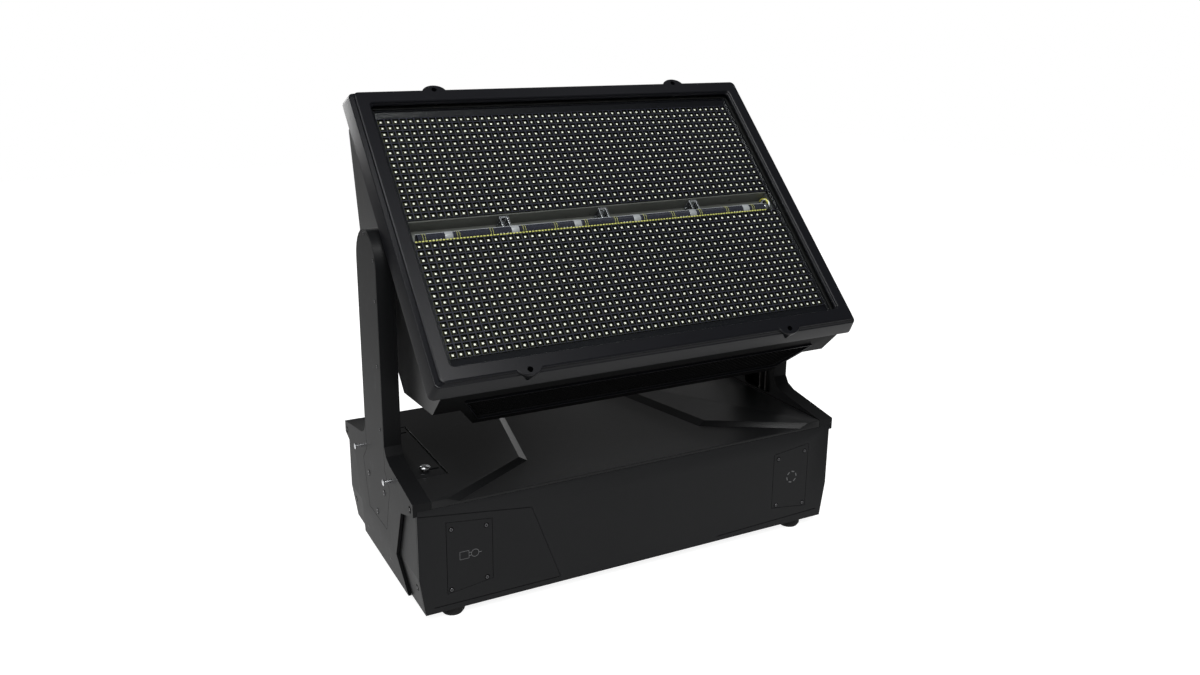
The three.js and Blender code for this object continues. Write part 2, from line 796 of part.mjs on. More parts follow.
function yoke(has_drive) {
  const body = join(slabX(flareOutline(), -half_length, -yoke_inner_x),
    slabX(armOutline(0, pivot_height - arm_half_depth), -half_length, -yoke_inner_x));
  const plate_outline = bothSides([
    [half_depth, deck_height - casting_lap],
    [half_depth, deck_height - rail_drop_front],
    [plate_top_reach, plate_top_height],
    [plate_fold_reach, tub_fold_height],
    [plate_foot_reach, 0],
  ]);
  const plate_section = [
    [-half_length, deck_height],
    [-half_length, tub_fold_height],
    [-half_length + tub_end_lean, 0],
    [-plate_inner_x + tub_end_lean, 0],
    [-plate_inner_x, tub_fold_height],
    [-plate_inner_x, deck_height],
  ];
  const plate = common(slabX(plate_outline, -half_length - overrun, -yoke_inner_x),
    slabY(plate_section, -half_depth, half_depth));
  const tab = block(-wall_inner_x, -yoke_inner_x, -motor_tab_reach, motor_tab_reach,
    motor_tab_foot, deck_height - casting_lap);
  const boss_radius = bearing_radius + seat_gap + boss_wall;
  const boss = slabX(circle(0, pivot_height, boss_radius, large_sides),
    -yoke_inner_x - bearing_width - seat_gap * 2, -yoke_inner_x - yoke_wall / 2);
  const cavity_half = arm_half_depth - arm_wall;
  const cavity = slabX([
    ...arc(0, pivot_height, cavity_half, 0, 180, large_sides / 2),
    [-cavity_half, shell_top],
    [-drive_window_reach, motor_tab_foot],
    [drive_window_reach, motor_tab_foot],
    [cavity_half, shell_top],
  ], -half_length - overrun, -wall_inner_x);
  const seat_x = -half_length + cover_sheet + seat_gap;
  const cover_seat = slabX(coverOutline(seat_gap), -half_length - overrun, seat_x);
  const bore = slabX(circle(0, pivot_height, bearing_radius + seat_gap, large_sides),
    -half_length, -yoke_inner_x + overrun);
  const inward_cut = has_drive
    ? slabX(circle(0, drive_height, motor_spigot_radius + seat_gap, round_sides),
      -wall_inner_x - seat_gap, -yoke_inner_x + overrun)
    : slabX(wiringOutline(), -wall_inner_x - seat_gap, -yoke_inner_x + overrun);
  const casting = has_drive ? join(body, plate, tab) : join(body, plate);
  return cut(join(cut(casting, cavity, cover_seat), boss), bore, inward_cut);
}
const yoke_left = yoke(true);
const stud_holes = [-1, 1].map(side => slabX(
  circle(side * stud_offset, stud_height, stud_radius + seat_gap, small_sides),
  -half_length - overrun, -half_length + yoke_skin - seat_gap,
));
add(model, 'yoke_left', cut(yoke_left, ...stud_holes), powder_coat);
add(model, 'yoke_right', mirrored(yoke(false)), powder_coat);

const yoke_cover = slabX(coverOutline(0), -half_length, -half_length + cover_sheet);
add(model, 'yoke_cover_left', yoke_cover, powder_coat);
add(model, 'yoke_cover_right', mirrored(yoke_cover), powder_coat);

// Shoulder studs on the left end
function shoulderStud(y) {
  const head_x = -half_length - stud_reach;
  const shank = slabX(circle(y, stud_height, stud_radius, small_sides), head_x + stud_head_length / 2,
    -half_length + yoke_skin - seat_gap * 2);
  const stud_head = slabX(circle(y, stud_height, stud_head_radius, small_sides),
    head_x, head_x + stud_head_length);
  return join(shank, stud_head);
}
add(model, 'stud_front', shoulderStud(-stud_offset), plated_steel);
add(model, 'stud_rear', shoulderStud(stud_offset), plated_steel);

// Tilt bearings and axles
function ringX(radius, hole_radius, x0, x1, sides = large_sides) {
  return slabX(circle(0, 0, radius, sides), x0, x1, [circle(0, 0, hole_radius, sides)]);
}

const bearing = ringX(bearing_radius, axle_radius + seat_gap, -yoke_inner_x - seat_gap - bearing_width,
  -yoke_inner_x - seat_gap).translate(0, 0, pivot_height);
add(model, 'tilt_bearing_left', bearing, plated_steel);
add(model, 'tilt_bearing_right', mirrored(bearing), plated_steel);

const axle_root_x = -housing_u - seat_gap;
const axle_end_x = -wall_inner_x - pulley_width - slide_gap * 2;
const axle = cut(
  join(slabX(circle(0, 0, axle_flange_radius, large_sides), axle_root_x - axle_flange_length, axle_root_x),
    slabX(circle(0, 0, axle_radius, large_sides), axle_end_x, axle_root_x - axle_flange_length / 2)),
  slabX(circle(0, 0, axle_bore_radius, round_sides), axle_end_x - overrun, axle_root_x + overrun),
);
add(head, 'tilt_axle_left', axle, bare_aluminium);
add(head, 'tilt_axle_right', mirrored(axle), bare_aluminium);

// Pulleys, belt and motor
const pulley_x = -wall_inner_x - slide_gap - seat_gap;
const driven_pulley = join(
  ringX(driven_radius, bearing_radius + boss_wall + seat_gap + slide_gap * 2,
    pulley_x - pulley_width, pulley_x),
  ringX(driven_radius, axle_radius + seat_gap, pulley_x - pulley_width, pulley_x - pulley_width + pulley_web),
);
add(head, 'driven_pulley', driven_pulley, bare_aluminium);

const spigot_face = -yoke_inner_x - yoke_wall + seat_gap;
const motor_face = -yoke_inner_x + seat_gap;
const drive_pulley = join(
  ringX(drive_radius, motor_shaft_radius / 2, pulley_x - pulley_width, pulley_x, round_sides),
  slabX(circle(0, 0, motor_shaft_radius, small_sides), pulley_x - pulley_width, motor_face),
).translate(0, 0, drive_height);
add(model, 'motor_pulley', drive_pulley, bare_aluminium);

function beltLoop(grow) {
  const top = driven_radius + seat_gap + grow;
  const low = drive_radius + seat_gap + grow;
  const lean = THREE.MathUtils.radToDeg(Math.asin((top - low) / (pivot_height - drive_height)));
  return [
    ...arc(0, pivot_height, top, -lean, 180 + lean, large_sides / 2),
    ...arc(0, drive_height, low, 180 + lean, 360 - lean, large_sides / 2),
  ];
}
const belt_x = pulley_x - (pulley_width - belt_width) / 2;
add(model, 'tilt_belt', slabX(beltLoop(belt_thickness), belt_x - belt_width, belt_x, [beltLoop(0)]), rubber);

function tiltMotor() {
  const half = motor_size / 2;
  const outline = [
    [half, half - motor_corner], [half - motor_corner, half],
    [motor_corner - half, half], [-half, half - motor_corner],
    [-half, motor_corner - half], [motor_corner - half, -half],
    [half - motor_corner, -half], [half, motor_corner - half],
  ];
  const body = slabX(outline, motor_face, motor_face + motor_length);
  const spigot = slabX(circle(0, 0, motor_spigot_radius, round_sides), spigot_face, motor_face + yoke_wall);
  const shaft_hole = slabX(circle(0, 0, motor_shaft_radius + seat_gap, small_sides),
    spigot_face - overrun, motor_face + seat_gap);
  return cut(join(body, spigot), shaft_hole).translate(0, 0, drive_height);
}
add(model, 'tilt_motor', tiltMotor(), black_plastic);

// Rear sockets
function roundSocket(x, bore) {
  const flange_back = half_depth + seat_gap;
  const flange = slabY(rectangle(x - socket_flange_length / 2, x + socket_flange_length / 2,
    socket_height - socket_flange_height / 2, socket_height + socket_flange_height / 2),
  flange_back, flange_back + socket_flange_sheet);
  const barrel = slabY(circle(x, socket_height, socket_barrel_radius),
    flange_back + socket_flange_sheet / 2 - socket_depth, flange_back + socket_flange_sheet / 2);
  const mouth = flange_back + socket_flange_sheet;
  return cut(join(flange, barrel),
    slabY(circle(x, socket_height, bore, round_sides), mouth - bore_depth, mouth + overrun));
}
for (const { name, x, bore } of sockets) {
  add(model, name, roundSocket(x, bore), black_plastic);
}

function networkSocket() {
  const mouth = half_depth + seat_gap + socket_flange_sheet;
  const plug = slabY(circle(network_x, socket_height, network_height / 2, round_sides),
    mouth - bore_depth, mouth);
  const port = slabY(rectangle(network_x - network_length / 2, network_x + network_length / 2,
    socket_height - network_height / 2, socket_height + network_height / 2),
  mouth - bore_depth, mouth + overrun);
  return cut(join(roundSocket(network_x, network_height * network_bore_share), plug), port);
}
add(model, 'network_socket', networkSocket(), black_plastic);

// Control panel with its display and four buttons
const control_back = half_depth + seat_gap;
const control_front = control_back + control_sheet;
const button_places = [0, 1, 2, 3].map(step => control_x + (step - 3 / 2) * button_pitch);
const button_z = control_z - button_drop;
const display_z = control_z + display_rise;

function displayOutline(grow) {
  return rectangle(control_x - display_length / 2 - grow, control_x + display_length / 2 + grow,
    display_z - display_height / 2 - grow, display_z + display_height / 2 + grow);
}

function controlPanel() {
  const plate = slabY(rectangle(control_x - control_length / 2, control_x + control_length / 2,
    control_z - control_height / 2, control_z + control_height / 2), control_back, control_front);
  const box_half_length = control_length / 2 - control_box_margin;
  const box_half_height = control_height / 2 - control_box_margin;
  const rear_box = slabY(rectangle(control_x - box_half_length, control_x + box_half_length,
    control_z - box_half_height, control_z + box_half_height),
  control_back - control_box_depth, control_back + control_sheet / 2);
  const button_wells = button_places.map(x => slabY(circle(x, button_z, button_radius + seat_gap, round_sides),
    control_front + button_proud - button_length - button_travel - seat_gap,
    control_front + overrun));
  return cut(join(plate, rear_box),
    slabY(displayOutline(seat_gap), control_front - display_sheet - seat_gap, control_front + overrun),
    ...button_wells);
}
add(model, 'control_panel', controlPanel(), black_plastic);
add(model, 'display_window',
  slabY(displayOutline(0), control_front - display_sheet, control_front), display_black);

button_places.forEach((x, place) => {
  const tip = control_front + button_proud;
  add(model, `menu_button_${place + 1}`,
    slabY(circle(x, button_z, button_radius, round_sides), tip - button_length, tip), rubber);
});

// Power supply and control board on the tub's floor
const floor_seat = tub_wall + seat_gap;

function powerSupply() {
  const x0 = supply_x - supply_length / 2;
  const y0 = supply_y - supply_depth / 2;
  const body = block(x0, x0 + supply_length, y0, y0 + supply_depth, floor_seat, floor_seat + supply_height);
  const terminal_notch = block(x0 - overrun, x0 + supply_length * supply_terminal_share,
    y0 - overrun, y0 + supply_depth + overrun,
    floor_seat + supply_height / 2, floor_seat + supply_height + overrun);
  return cut(body, terminal_notch);
}
add(model, 'power_supply', powerSupply(), bare_aluminium);

function controlBoard() {
  const x0 = board_x - board_length / 2;
  const y0 = -board_depth / 2;
  const board_z = floor_seat + standoff_height;
  const pieces = [block(x0, x0 + board_length, y0, y0 + board_depth, board_z, board_z + board_sheet)];
  for (const x of [x0 + standoff_inset, x0 + board_length - standoff_inset]) {
    for (const y of [y0 + standoff_inset, y0 + board_depth - standoff_inset]) {
      pieces.push(slabZ(circle(x, y, standoff_radius, small_sides), floor_seat, board_z + board_sheet / 2));
    }
  }
  pieces.push(block(x0 + board_length * chip_near_share, x0 + board_length * chip_far_share,
    y0 + board_depth * chip_front_share, y0 + board_depth * chip_far_share,
    board_z + board_sheet / 2, board_z + board_chip_height));
  return join(...pieces);
}
add(model, 'control_board', controlBoard(), circuit_green);

// Bezel: a stepped frame with four screw ears
function bezelEar(side_u, side_v) {
  const root = bezel_rim_v - ear_half_width * ear_root_sink_share;
  const outline = (width_share, reach) => [
    [-ear_half_width * width_share, root],
    [-ear_half_width * width_share * ear_shoulder_share, reach - bezel_edge],
    [-ear_half_width * width_share * ear_tip_share, reach],
    [ear_half_width * width_share * ear_tip_share, reach],
    [ear_half_width * width_share * ear_shoulder_share, reach - bezel_edge],
    [ear_half_width * width_share, root],
  ].map(([u, v]) => [side_u * ear_u + u, v]);
  const ear = headLoft(outline(ear_root_share, bezel_outer_v - bezel_edge), outline(1, ear_reach),
    -bezel_wall / 2, bezel_front_w);
  return side_v > 0 ? ear : ear.rotateY(Math.PI);
}

function bezel() {
  const lip_w = glass_back_w + glass_sheet + seat_gap;
  const level = (u, v, w, r) => ({ u, v, w, r });
  const inner_corner = rim_corner;
  const ring = frameRing([
    level(aperture_u, aperture_v, bezel_front_w - bezel_edge, inner_corner - bezel_edge),
    level(aperture_u + bezel_edge, aperture_v + bezel_edge, bezel_front_w, inner_corner),
    level(bezel_rim_u - bezel_edge, bezel_rim_v - bezel_edge, bezel_front_w, rim_corner),
    level(bezel_rim_u, bezel_rim_v, bezel_front_w - bezel_edge, rim_corner),
    level(bezel_rim_u, bezel_rim_v, bezel_front_w - bezel_step, rim_corner),
    level(bezel_ridge_u, bezel_ridge_v, bezel_ridge_w, rim_corner),
    level(bezel_outer_u - bezel_edge / 2, bezel_outer_v - bezel_edge / 2, bezel_shoulder_w, bezel_corner),
    level(bezel_outer_u, bezel_outer_v, bezel_shoulder_w - bezel_edge, bezel_corner),
    level(bezel_outer_u, bezel_outer_v, bezel_back_w, bezel_corner),
    level(bezel_outer_u - bezel_wall, bezel_outer_v - bezel_wall, bezel_back_w, bezel_corner - bezel_wall),
    level(bezel_outer_u - bezel_wall, bezel_outer_v - bezel_wall, -bezel_edge, bezel_corner - bezel_wall),
    level(aperture_u + glass_ledge, aperture_v + glass_ledge, glass_back_w, rim_corner),
    level(aperture_u + glass_lap + slide_gap, aperture_v + glass_lap + slide_gap, glass_back_w, rim_corner),
    level(aperture_u + glass_lap + slide_gap, aperture_v + glass_lap + slide_gap, lip_w, rim_corner),
    level(aperture_u, aperture_v, lip_w, inner_corner - bezel_edge),
  ]);
  const ears = [];
  const holes = [];
  for (const side_u of [-1, 1]) {
    for (const side_v of [-1, 1]) {
      ears.push(bezelEar(side_u, side_v));
      holes.push(slabY(circle(side_u * ear_u, side_v * bezel_rim_v, ear_hole_radius, small_sides),
        head_y(bezel_front_w + overrun), head_y(bezel_front_w - ear_hole_depth)));
    }
  }
  return cut(join(ring, ...ears), ...holes);
}
add(head, 'bezel', bezel(), bezel_coat);

// Front glass and its gasket
const glass_u = aperture_u + glass_lap;
const glass_v = aperture_v + glass_lap;
add(head, 'front_glass', slabY(roundedRectangle(glass_u, glass_v, rim_corner),
  head_y(glass_back_w + glass_sheet), head_y(glass_back_w)), clear_glass);

const board_back_w = lamp_board_w - lamp_board_sheet;
add(head, 'glass_gasket', slabY(roundedRectangle(glass_u, glass_v, rim_corner),
  head_y(glass_back_w - seat_gap), head_y(board_back_w),
  [roundedRectangle(glass_u - gasket_width, glass_v - gasket_width, seat_gap)]), rubber);

// Lamp boards above and below the trough
const board_half_u = glass_u - gasket_width - lamp_board_margin;
const board_outer_v = glass_v - gasket_width - lamp_board_margin;
const board_inner_v = trough_half + seat_gap;
add(head, 'lamp_board_upper', slabY(rectangle(-board_half_u, board_half_u, board_inner_v, board_outer_v),
  head_y(lamp_board_w), head_y(board_back_w)), lamp_board);
add(head, 'lamp_board_lower', slabY(rectangle(-board_half_u, board_half_u, -board_outer_v, -board_inner_v),
  head_y(lamp_board_w), head_y(board_back_w)), lamp_board);

// Louvre: rails round both fields and an open slot over the trough
function lampLouvre() {
  const half_u = glass_u - gasket_width - louvre_gap;
  const half_v = glass_v - gasket_width - louvre_gap;
  const slot_v = trough_half - louvre_slot_lap;
  const inner_u = half_u - louvre_end_rail;
  const field_low = slot_v + louvre_bar;
  const field_high = half_v - louvre_side_rail;
  const pitch_u = (2 * inner_u + louvre_bar) / louvre_columns;
  const pitch_v = (field_high - field_low + louvre_bar) / louvre_rows;
  const front = head_y(louvre_front_w);
  const back = head_y(lamp_board_w + seat_gap);
  const window = (u0, u1, v0, v1) => block(u0, u1, front - overrun, back + overrun, v0, v1);
  const windows = [window(-inner_u, inner_u, -slot_v, slot_v)];
  for (let column = 0; column < louvre_columns; column += 1) {
    const u = -inner_u + column * pitch_u;
    for (let row = 0; row < louvre_rows; row += 1) {
      const v = field_low + row * pitch_v;
      windows.push(window(u, u + pitch_u - louvre_bar, v, v + pitch_v - louvre_bar));
      windows.push(window(u, u + pitch_u - louvre_bar, -v - pitch_v + louvre_bar, -v));
    }
  }
  return cut(block(-half_u, half_u, front, back, -half_v, half_v), ...windows);
}
add(head, 'lamp_louvre', lampLouvre(), black_plastic);

// Trough between the boards, with saddles for the tube
const trough_half_length = tube_half_length + trough_end_gap;
const trough_floor_w = lamp_board_w - trough_depth + trough_wall;

function troughReflector() {
  const section = [
    [head_y(lamp_board_w), trough_half],
    [head_y(lamp_board_w - trough_depth), trough_half],
    [head_y(lamp_board_w - trough_depth), -trough_half],
    [head_y(lamp_board_w), -trough_half],
    [head_y(lamp_board_w), trough_wall - trough_half],
    [head_y(trough_floor_w), trough_wall - trough_half],
    [head_y(trough_floor_w), trough_half - trough_wall],
    [head_y(lamp_board_w), trough_half - trough_wall],
  ];
  const pieces = [slabX(section, -trough_half_length, trough_half_length)];
  const saddle_top = head_y(tube_w - tube_radius - seat_gap);
  for (let i = 0; i < saddle_count; i += 1) {
    const u = (i - (saddle_count - 1) / 2) * saddle_pitch;
    const section_of_saddle = rectangle(saddle_top, head_y(trough_floor_w - trough_wall / 2),
      tube_v - tube_radius * saddle_low_share, clip_low_v - slide_gap);
    pieces.push(slabX(section_of_saddle, u - saddle_length / 2, u + saddle_length / 2));
  }
  return join(...pieces);
}
add(head, 'trough_reflector', troughReflector(), reflector_coat);

add(head, 'clear_tube', slabX(circle(head_y(tube_w), tube_v, tube_radius, round_sides),
  -tube_half_length, tube_half_length), clear_glass);

const strip_foot = trough_wall - trough_half + seat_gap;
add(head, 'line_lamp_strip', block(-tube_half_length, tube_half_length,
  head_y(lamp_board_w + slide_gap), head_y(lamp_board_w + slide_gap - strip_depth),
  strip_foot, strip_foot + strip_thickness), circuit_green);

// Clear clips that hold the tube
function tubeClip(u) {
  const low = [clip_low_v, clip_low_v];
  const outline = [
    [-clip_length / 2, low[0]],
    [-clip_length / 2, clip_top_v],
    [clip_length / 2, clip_top_v],
    [clip_length / 2, low[1]],
    [clip_length / 2 - clip_wall, low[1]],
    [clip_length / 2 - clip_wall, clip_top_v - clip_wall],
    [clip_wall - clip_length / 2, clip_top_v - clip_wall],
    [clip_wall - clip_length / 2, low[0]],
  ].map(([a, v]) => [u + a, v]);
  const bent = slabY(outline, head_y(lamp_board_w), head_y(trough_floor_w) - seat_gap);
  const tube_space = slabX(circle(head_y(tube_w), tube_v, tube_radius + seat_gap, round_sides),
    u - clip_length, u + clip_length);
  return cut(bent, tube_space);
}
[-clip_pitch, 0, clip_pitch].forEach((u, place) => {
  add(head, `tube_clip_${place + 1}`, tubeClip(u), clear_glass);
});

// Heat sink behind the boards
const sink_front_w = board_back_w - seat_gap;

function heatSink() {
  const plate_back_w = sink_front_w - sink_plate;
  const fin_back_w = plate_back_w - sink_fin_depth;
  const margin = housing_wall + slide_gap;
  const pieces = [slabY(roundedRectangle(housing_u - margin, housing_v - margin, sink_corner),
    head_y(sink_front_w), head_y(plate_back_w))];
  const fin_count = Math.floor(2 * (housing_u - sink_fin_margin) / sink_fin_pitch);
  for (let i = 0; i < fin_count; i += 1) {
    const u = (i - (fin_count - 1) / 2) * sink_fin_pitch;
    pieces.push(block(u - sink_fin / 2, u + sink_fin / 2,
      head_y(plate_back_w + sink_plate / 2), head_y(fin_back_w),
      -sink_fin_half_length, sink_fin_half_length));
  }
  const groove_half = trough_half + seat_gap;
  const groove_end = trough_half_length + seat_gap;
  const groove = block(-groove_end, groove_end, head_y(sink_front_w + overrun),
    head_y(lamp_board_w - trough_depth - seat_gap), -groove_half, groove_half);
  return cut(join(...pieces), groove);
}
add(head, 'heat_sink', heatSink(), bare_aluminium);

// Two cooling fans behind the fins
const fan_front_w = sink_front_w - sink_plate - sink_fin_depth - seat_gap;
const fan_back_y = head_y(fan_front_w - fan_depth);

function fanFrame(u) {
  const half = fan_size / 2;
  const frame = slabY(rectangle(u - half, u + half, fan_v - half, fan_v + half),
    head_y(fan_front_w), fan_back_y, [circle(u, fan_v, fan_bore_radius, large_sides)]);
  const spider_front = fan_back_y - fan_spider;
  const hub = slabY(circle(u, fan_v, fan_hub_radius, round_sides), spider_front, fan_back_y);
  const reach = fan_bore_radius + fan_strut / 2;
  const bar_u = slabY(rectangle(u - reach, u + reach, fan_v - fan_strut / 2, fan_v + fan_strut / 2),
    spider_front, fan_back_y);
  const bar_v = slabY(rectangle(u - fan_strut / 2, u + fan_strut / 2, fan_v - reach, fan_v + reach),
    spider_front, fan_back_y);
  const pin_hole = slabY(circle(u, fan_v, fan_pin_radius + seat_gap, small_sides),
    spider_front - overrun, fan_back_y + overrun);
  return cut(join(frame, hub, bar_u, bar_v), pin_hole);
}

function fanRotor(u) {
  const rotor_front = head_y(fan_front_w) + fan_front_gap;
  const rotor_back = fan_back_y - fan_spider - seat_gap;
  const pieces = [
    slabY(circle(0, 0, fan_hub_radius, round_sides), rotor_front, rotor_back),
    slabY(circle(0, 0, fan_pin_radius, small_sides), rotor_back - overrun, fan_back_y - seat_gap),
  ];
  const root = fan_hub_radius - blade_thickness;
  const tip = fan_bore_radius - fan_tip_gap;
  for (let i = 0; i < blade_count; i += 1) {
    const blade = block(root, tip, -blade_chord / 2, blade_chord / 2,
      -blade_thickness / 2, blade_thickness / 2);
    blade.rotateX(THREE.MathUtils.degToRad(blade_pitch_deg));
    blade.translate(0, (rotor_front + rotor_back) / 2, 0);
    pieces.push(blade.rotateY(Math.PI * 2 * i / blade_count));
  }
  const sweep = slabY(circle(0, 0, tip, large_sides), rotor_front, fan_back_y);
  return common(join(...pieces), sweep).translate(u, 0, fan_v);
}
for (const [side, left_right] of [[-1, 'left'], [1, 'right']]) {
  add(head, `fan_frame_${left_right}`, fanFrame(side * fan_u), black_plastic);
  add(head, `fan_rotor_${left_right}`, fanRotor(side * fan_u), black_plastic);
}

// Head housing: a folded shell with a hooded vent underneath and a covered opening at the back
function housingSection(grow) {
  return [
    [head_y(housing_front_w) - Math.max(-grow, 0) * overrun, -housing_v - grow],
    [head_y(housing_low_bend_w) + grow * housing_bend_share, -housing_v - grow],
    [head_y(housing_depth_w) + grow, housing_low_back_v - grow * housing_bend_share],
    [head_y(housing_depth_w) + grow, housing_high_back_v + grow * housing_bend_share],
    [head_y(housing_high_bend_w) + grow * housing_bend_share, housing_v + grow],
    [head_y(housing_front_w) - Math.max(-grow, 0) * overrun, housing_v + grow],
  ];
}

function hoodOutline(grow) {
  return [
    [-hood_front_u - grow, head_y(housing_low_bend_w) - overrun],
    [hood_front_u + grow, head_y(housing_low_bend_w) - overrun],
    [hood_front_u + grow, head_y(housing_low_bend_w)],
    [hood_back_u + grow, head_y(hood_back_w) + grow],
    [-hood_back_u - grow, head_y(hood_back_w) + grow],
    [-hood_front_u - grow, head_y(housing_low_bend_w)],
  ];
}

function ventOutline(grow) {
  return [
    [-vent_front_u - grow, head_y(vent_front_w) - grow],
    [vent_front_u + grow, head_y(vent_front_w) - grow],
    [vent_back_u + grow, head_y(vent_back_w) + grow],
    [-vent_back_u - grow, head_y(vent_back_w) + grow],
  ];
}

function headHousing() {
  const shell = join(slabX(housingSection(0), -housing_u, housing_u),
    slabZ(hoodOutline(0), -housing_v, hood_top_v));
  const flange_margin = bezel_wall + slide_gap;
  const flange = slabY(
    roundedRectangle(bezel_outer_u - flange_margin, bezel_outer_v - flange_margin, rim_corner),
    head_y(housing_front_w), head_y(bezel_back_w),
  );
  const inner_u = housing_u - housing_wall;
  const room = join(slabX(housingSection(-housing_wall), -inner_u, inner_u),
    slabZ(hoodOutline(-housing_wall), -housing_v + housing_wall, hood_top_v - housing_wall));
  const rear_opening = slabY(rectangle(-inner_u + rear_opening_margin, inner_u - rear_opening_margin,
    housing_low_back_v + rear_opening_margin, housing_high_back_v - rear_opening_margin),
  head_y(housing_depth_w) - overrun, head_y(housing_depth_w) + overrun);
  const vent = slabZ(ventOutline(0), -housing_v - overrun, -housing_v + housing_wall + seat_gap);
  const cable_holes = slabX(circle(0, 0, axle_bore_radius, round_sides),
    -housing_u - overrun, housing_u + overrun);
  return cut(join(shell, flange), room, rear_opening, vent, cable_holes);
}
add(head, 'head_housing', headHousing(), powder_coat);

add(head, 'vent_grille', slabZ(ventOutline(vent_lap), -housing_v + housing_wall + seat_gap,
  -housing_v + housing_wall + seat_gap + vent_sheet), powder_coat);

function rearCover() {
  const y0 = head_y(housing_depth_w) + seat_gap;
  const slots = [];
  for (const side of [-1, 1]) {
    for (let v = -rear_slot_radius + rear_slot_pitch / 2; v < rear_slot_radius; v += rear_slot_pitch) {
      const chord = 2 * Math.sqrt(rear_slot_radius ** 2 - v ** 2);
      slots.push(racetrack(side * fan_u, fan_v + v, chord, rear_slot_width));
    }
  }
  const reach = housing_u - rear_cover_margin;
  return slabY(rectangle(-reach, reach,
    housing_low_back_v + rear_cover_margin, housing_high_back_v - rear_cover_margin),
  y0, y0 + rear_cover_sheet, slots);
}
add(head, 'rear_cover', rearCover(), powder_coat);

export default model;
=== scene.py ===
# A motorised-tilt strobe light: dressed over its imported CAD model.
# Metres in the model's frame: +X right, +Y back, +Z up, origin under the middle of the base.
import math
import bmesh
import bpy
from mathutils import Matrix, Vector
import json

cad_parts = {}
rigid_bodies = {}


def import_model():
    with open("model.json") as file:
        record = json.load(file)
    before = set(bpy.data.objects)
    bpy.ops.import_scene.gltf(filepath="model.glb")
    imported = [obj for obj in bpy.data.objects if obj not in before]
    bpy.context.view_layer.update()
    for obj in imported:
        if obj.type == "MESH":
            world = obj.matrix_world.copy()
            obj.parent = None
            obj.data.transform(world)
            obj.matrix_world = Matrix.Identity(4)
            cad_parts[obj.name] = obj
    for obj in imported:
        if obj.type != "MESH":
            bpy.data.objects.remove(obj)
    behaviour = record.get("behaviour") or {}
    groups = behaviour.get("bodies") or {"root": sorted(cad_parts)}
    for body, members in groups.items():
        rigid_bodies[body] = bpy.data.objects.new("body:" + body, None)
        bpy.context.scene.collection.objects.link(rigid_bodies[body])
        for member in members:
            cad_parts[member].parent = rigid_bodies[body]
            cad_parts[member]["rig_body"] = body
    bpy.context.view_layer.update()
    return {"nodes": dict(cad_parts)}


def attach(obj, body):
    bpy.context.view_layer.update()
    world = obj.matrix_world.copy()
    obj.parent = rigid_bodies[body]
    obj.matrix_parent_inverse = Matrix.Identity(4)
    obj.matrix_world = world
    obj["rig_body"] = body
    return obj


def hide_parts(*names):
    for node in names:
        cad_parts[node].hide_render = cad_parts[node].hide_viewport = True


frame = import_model()

# Sizes are written in millimetres and turned to metres by these two, angles in degrees.
MM = 0.001


def mm(*sizes):
    return tuple(size * MM for size in sizes)


# The lamp head is drawn flat, u across, v up its face and w out of it, and then put in its place.
LAMP_CENTRE = Vector(mm(0, -29.698, 317.198))
HEAD_PLACE = Matrix.Translation(LAMP_CENTRE) @ Matrix.Rotation(math.radians(45), 4, "X")
HERE = Matrix.Identity(4)


# Camera, at the photograph's viewing angle: its place, turn in degrees, lens and shift
CAMERA_PLACE = (-453.3, -845.3, 483.6)
CAMERA_AZIMUTH, CAMERA_ELEVATION = 26.33, 15.04
SENSOR_WIDTH, LENS = 36, 30.586
SHIFT_X, SHIFT_Y = 0.0348, -0.0290
NEAREST = 0.02


def set_camera():
    bpy.ops.object.camera_add(location=mm(*CAMERA_PLACE))
    camera = bpy.context.object
    camera.name = "photo_camera"
    azimuth, elevation = math.radians(CAMERA_AZIMUTH), math.radians(CAMERA_ELEVATION)
    look = Vector((math.sin(azimuth) * math.cos(elevation),
                   math.cos(azimuth) * math.cos(elevation), -math.sin(elevation)))
    camera.rotation_euler = look.to_track_quat("-Z", "Y").to_euler()
    camera.data.sensor_width = SENSOR_WIDTH
    camera.data.lens = LENS
    camera.data.shift_x = SHIFT_X
    camera.data.shift_y = SHIFT_Y
    camera.data.clip_start = NEAREST
    bpy.context.scene.camera = camera


# Modelling steps, as done by hand. Edges that turn by more than SHARP degrees count as sharp. A CAD
# copy has points nearer than MERGE_WITHIN merged, flat faces joined within FLAT_WITHIN degrees, and
# edges longer than SHORTEST_ROUNDED rounded.
SHARP = 35
MERGE_WITHIN = 0.01
FLAT_WITHIN = 0.6
SHORTEST_ROUNDED = 3.0


def object_mode():
    if bpy.context.mode != "OBJECT":
        bpy.ops.object.mode_set(mode="OBJECT")


def clear():
    object_mode()
    bpy.ops.object.select_all(action="DESELECT")


def choose(piece):
    clear()
    piece.select_set(True)
    bpy.context.view_layer.objects.active = piece


def pick_none(kind):
    bpy.ops.mesh.select_mode(type=kind)
    bpy.ops.mesh.select_all(action="DESELECT")


def pick_all(kind):
    bpy.ops.mesh.select_mode(type=kind)
    bpy.ops.mesh.select_all(action="SELECT")


def edit(piece):
    choose(piece)
    bpy.ops.object.mode_set(mode="EDIT")
    pick_all("FACE")


def in_radians(angles):
    return [math.radians(angle) for angle in angles]


def fix(name):
    """Names the new primitive and puts its place and size into its mesh."""
    piece = bpy.context.object
    piece.name = piece.data.name = name
    bpy.ops.object.transform_apply(location=True, rotation=True, scale=True)
    return piece


def block(name, middle, size, turn=(0, 0, 0)):
    clear()
    bpy.ops.mesh.primitive_cube_add(size=1, location=mm(*middle), scale=mm(*size),
                                    rotation=in_radians(turn))
    return fix(name)


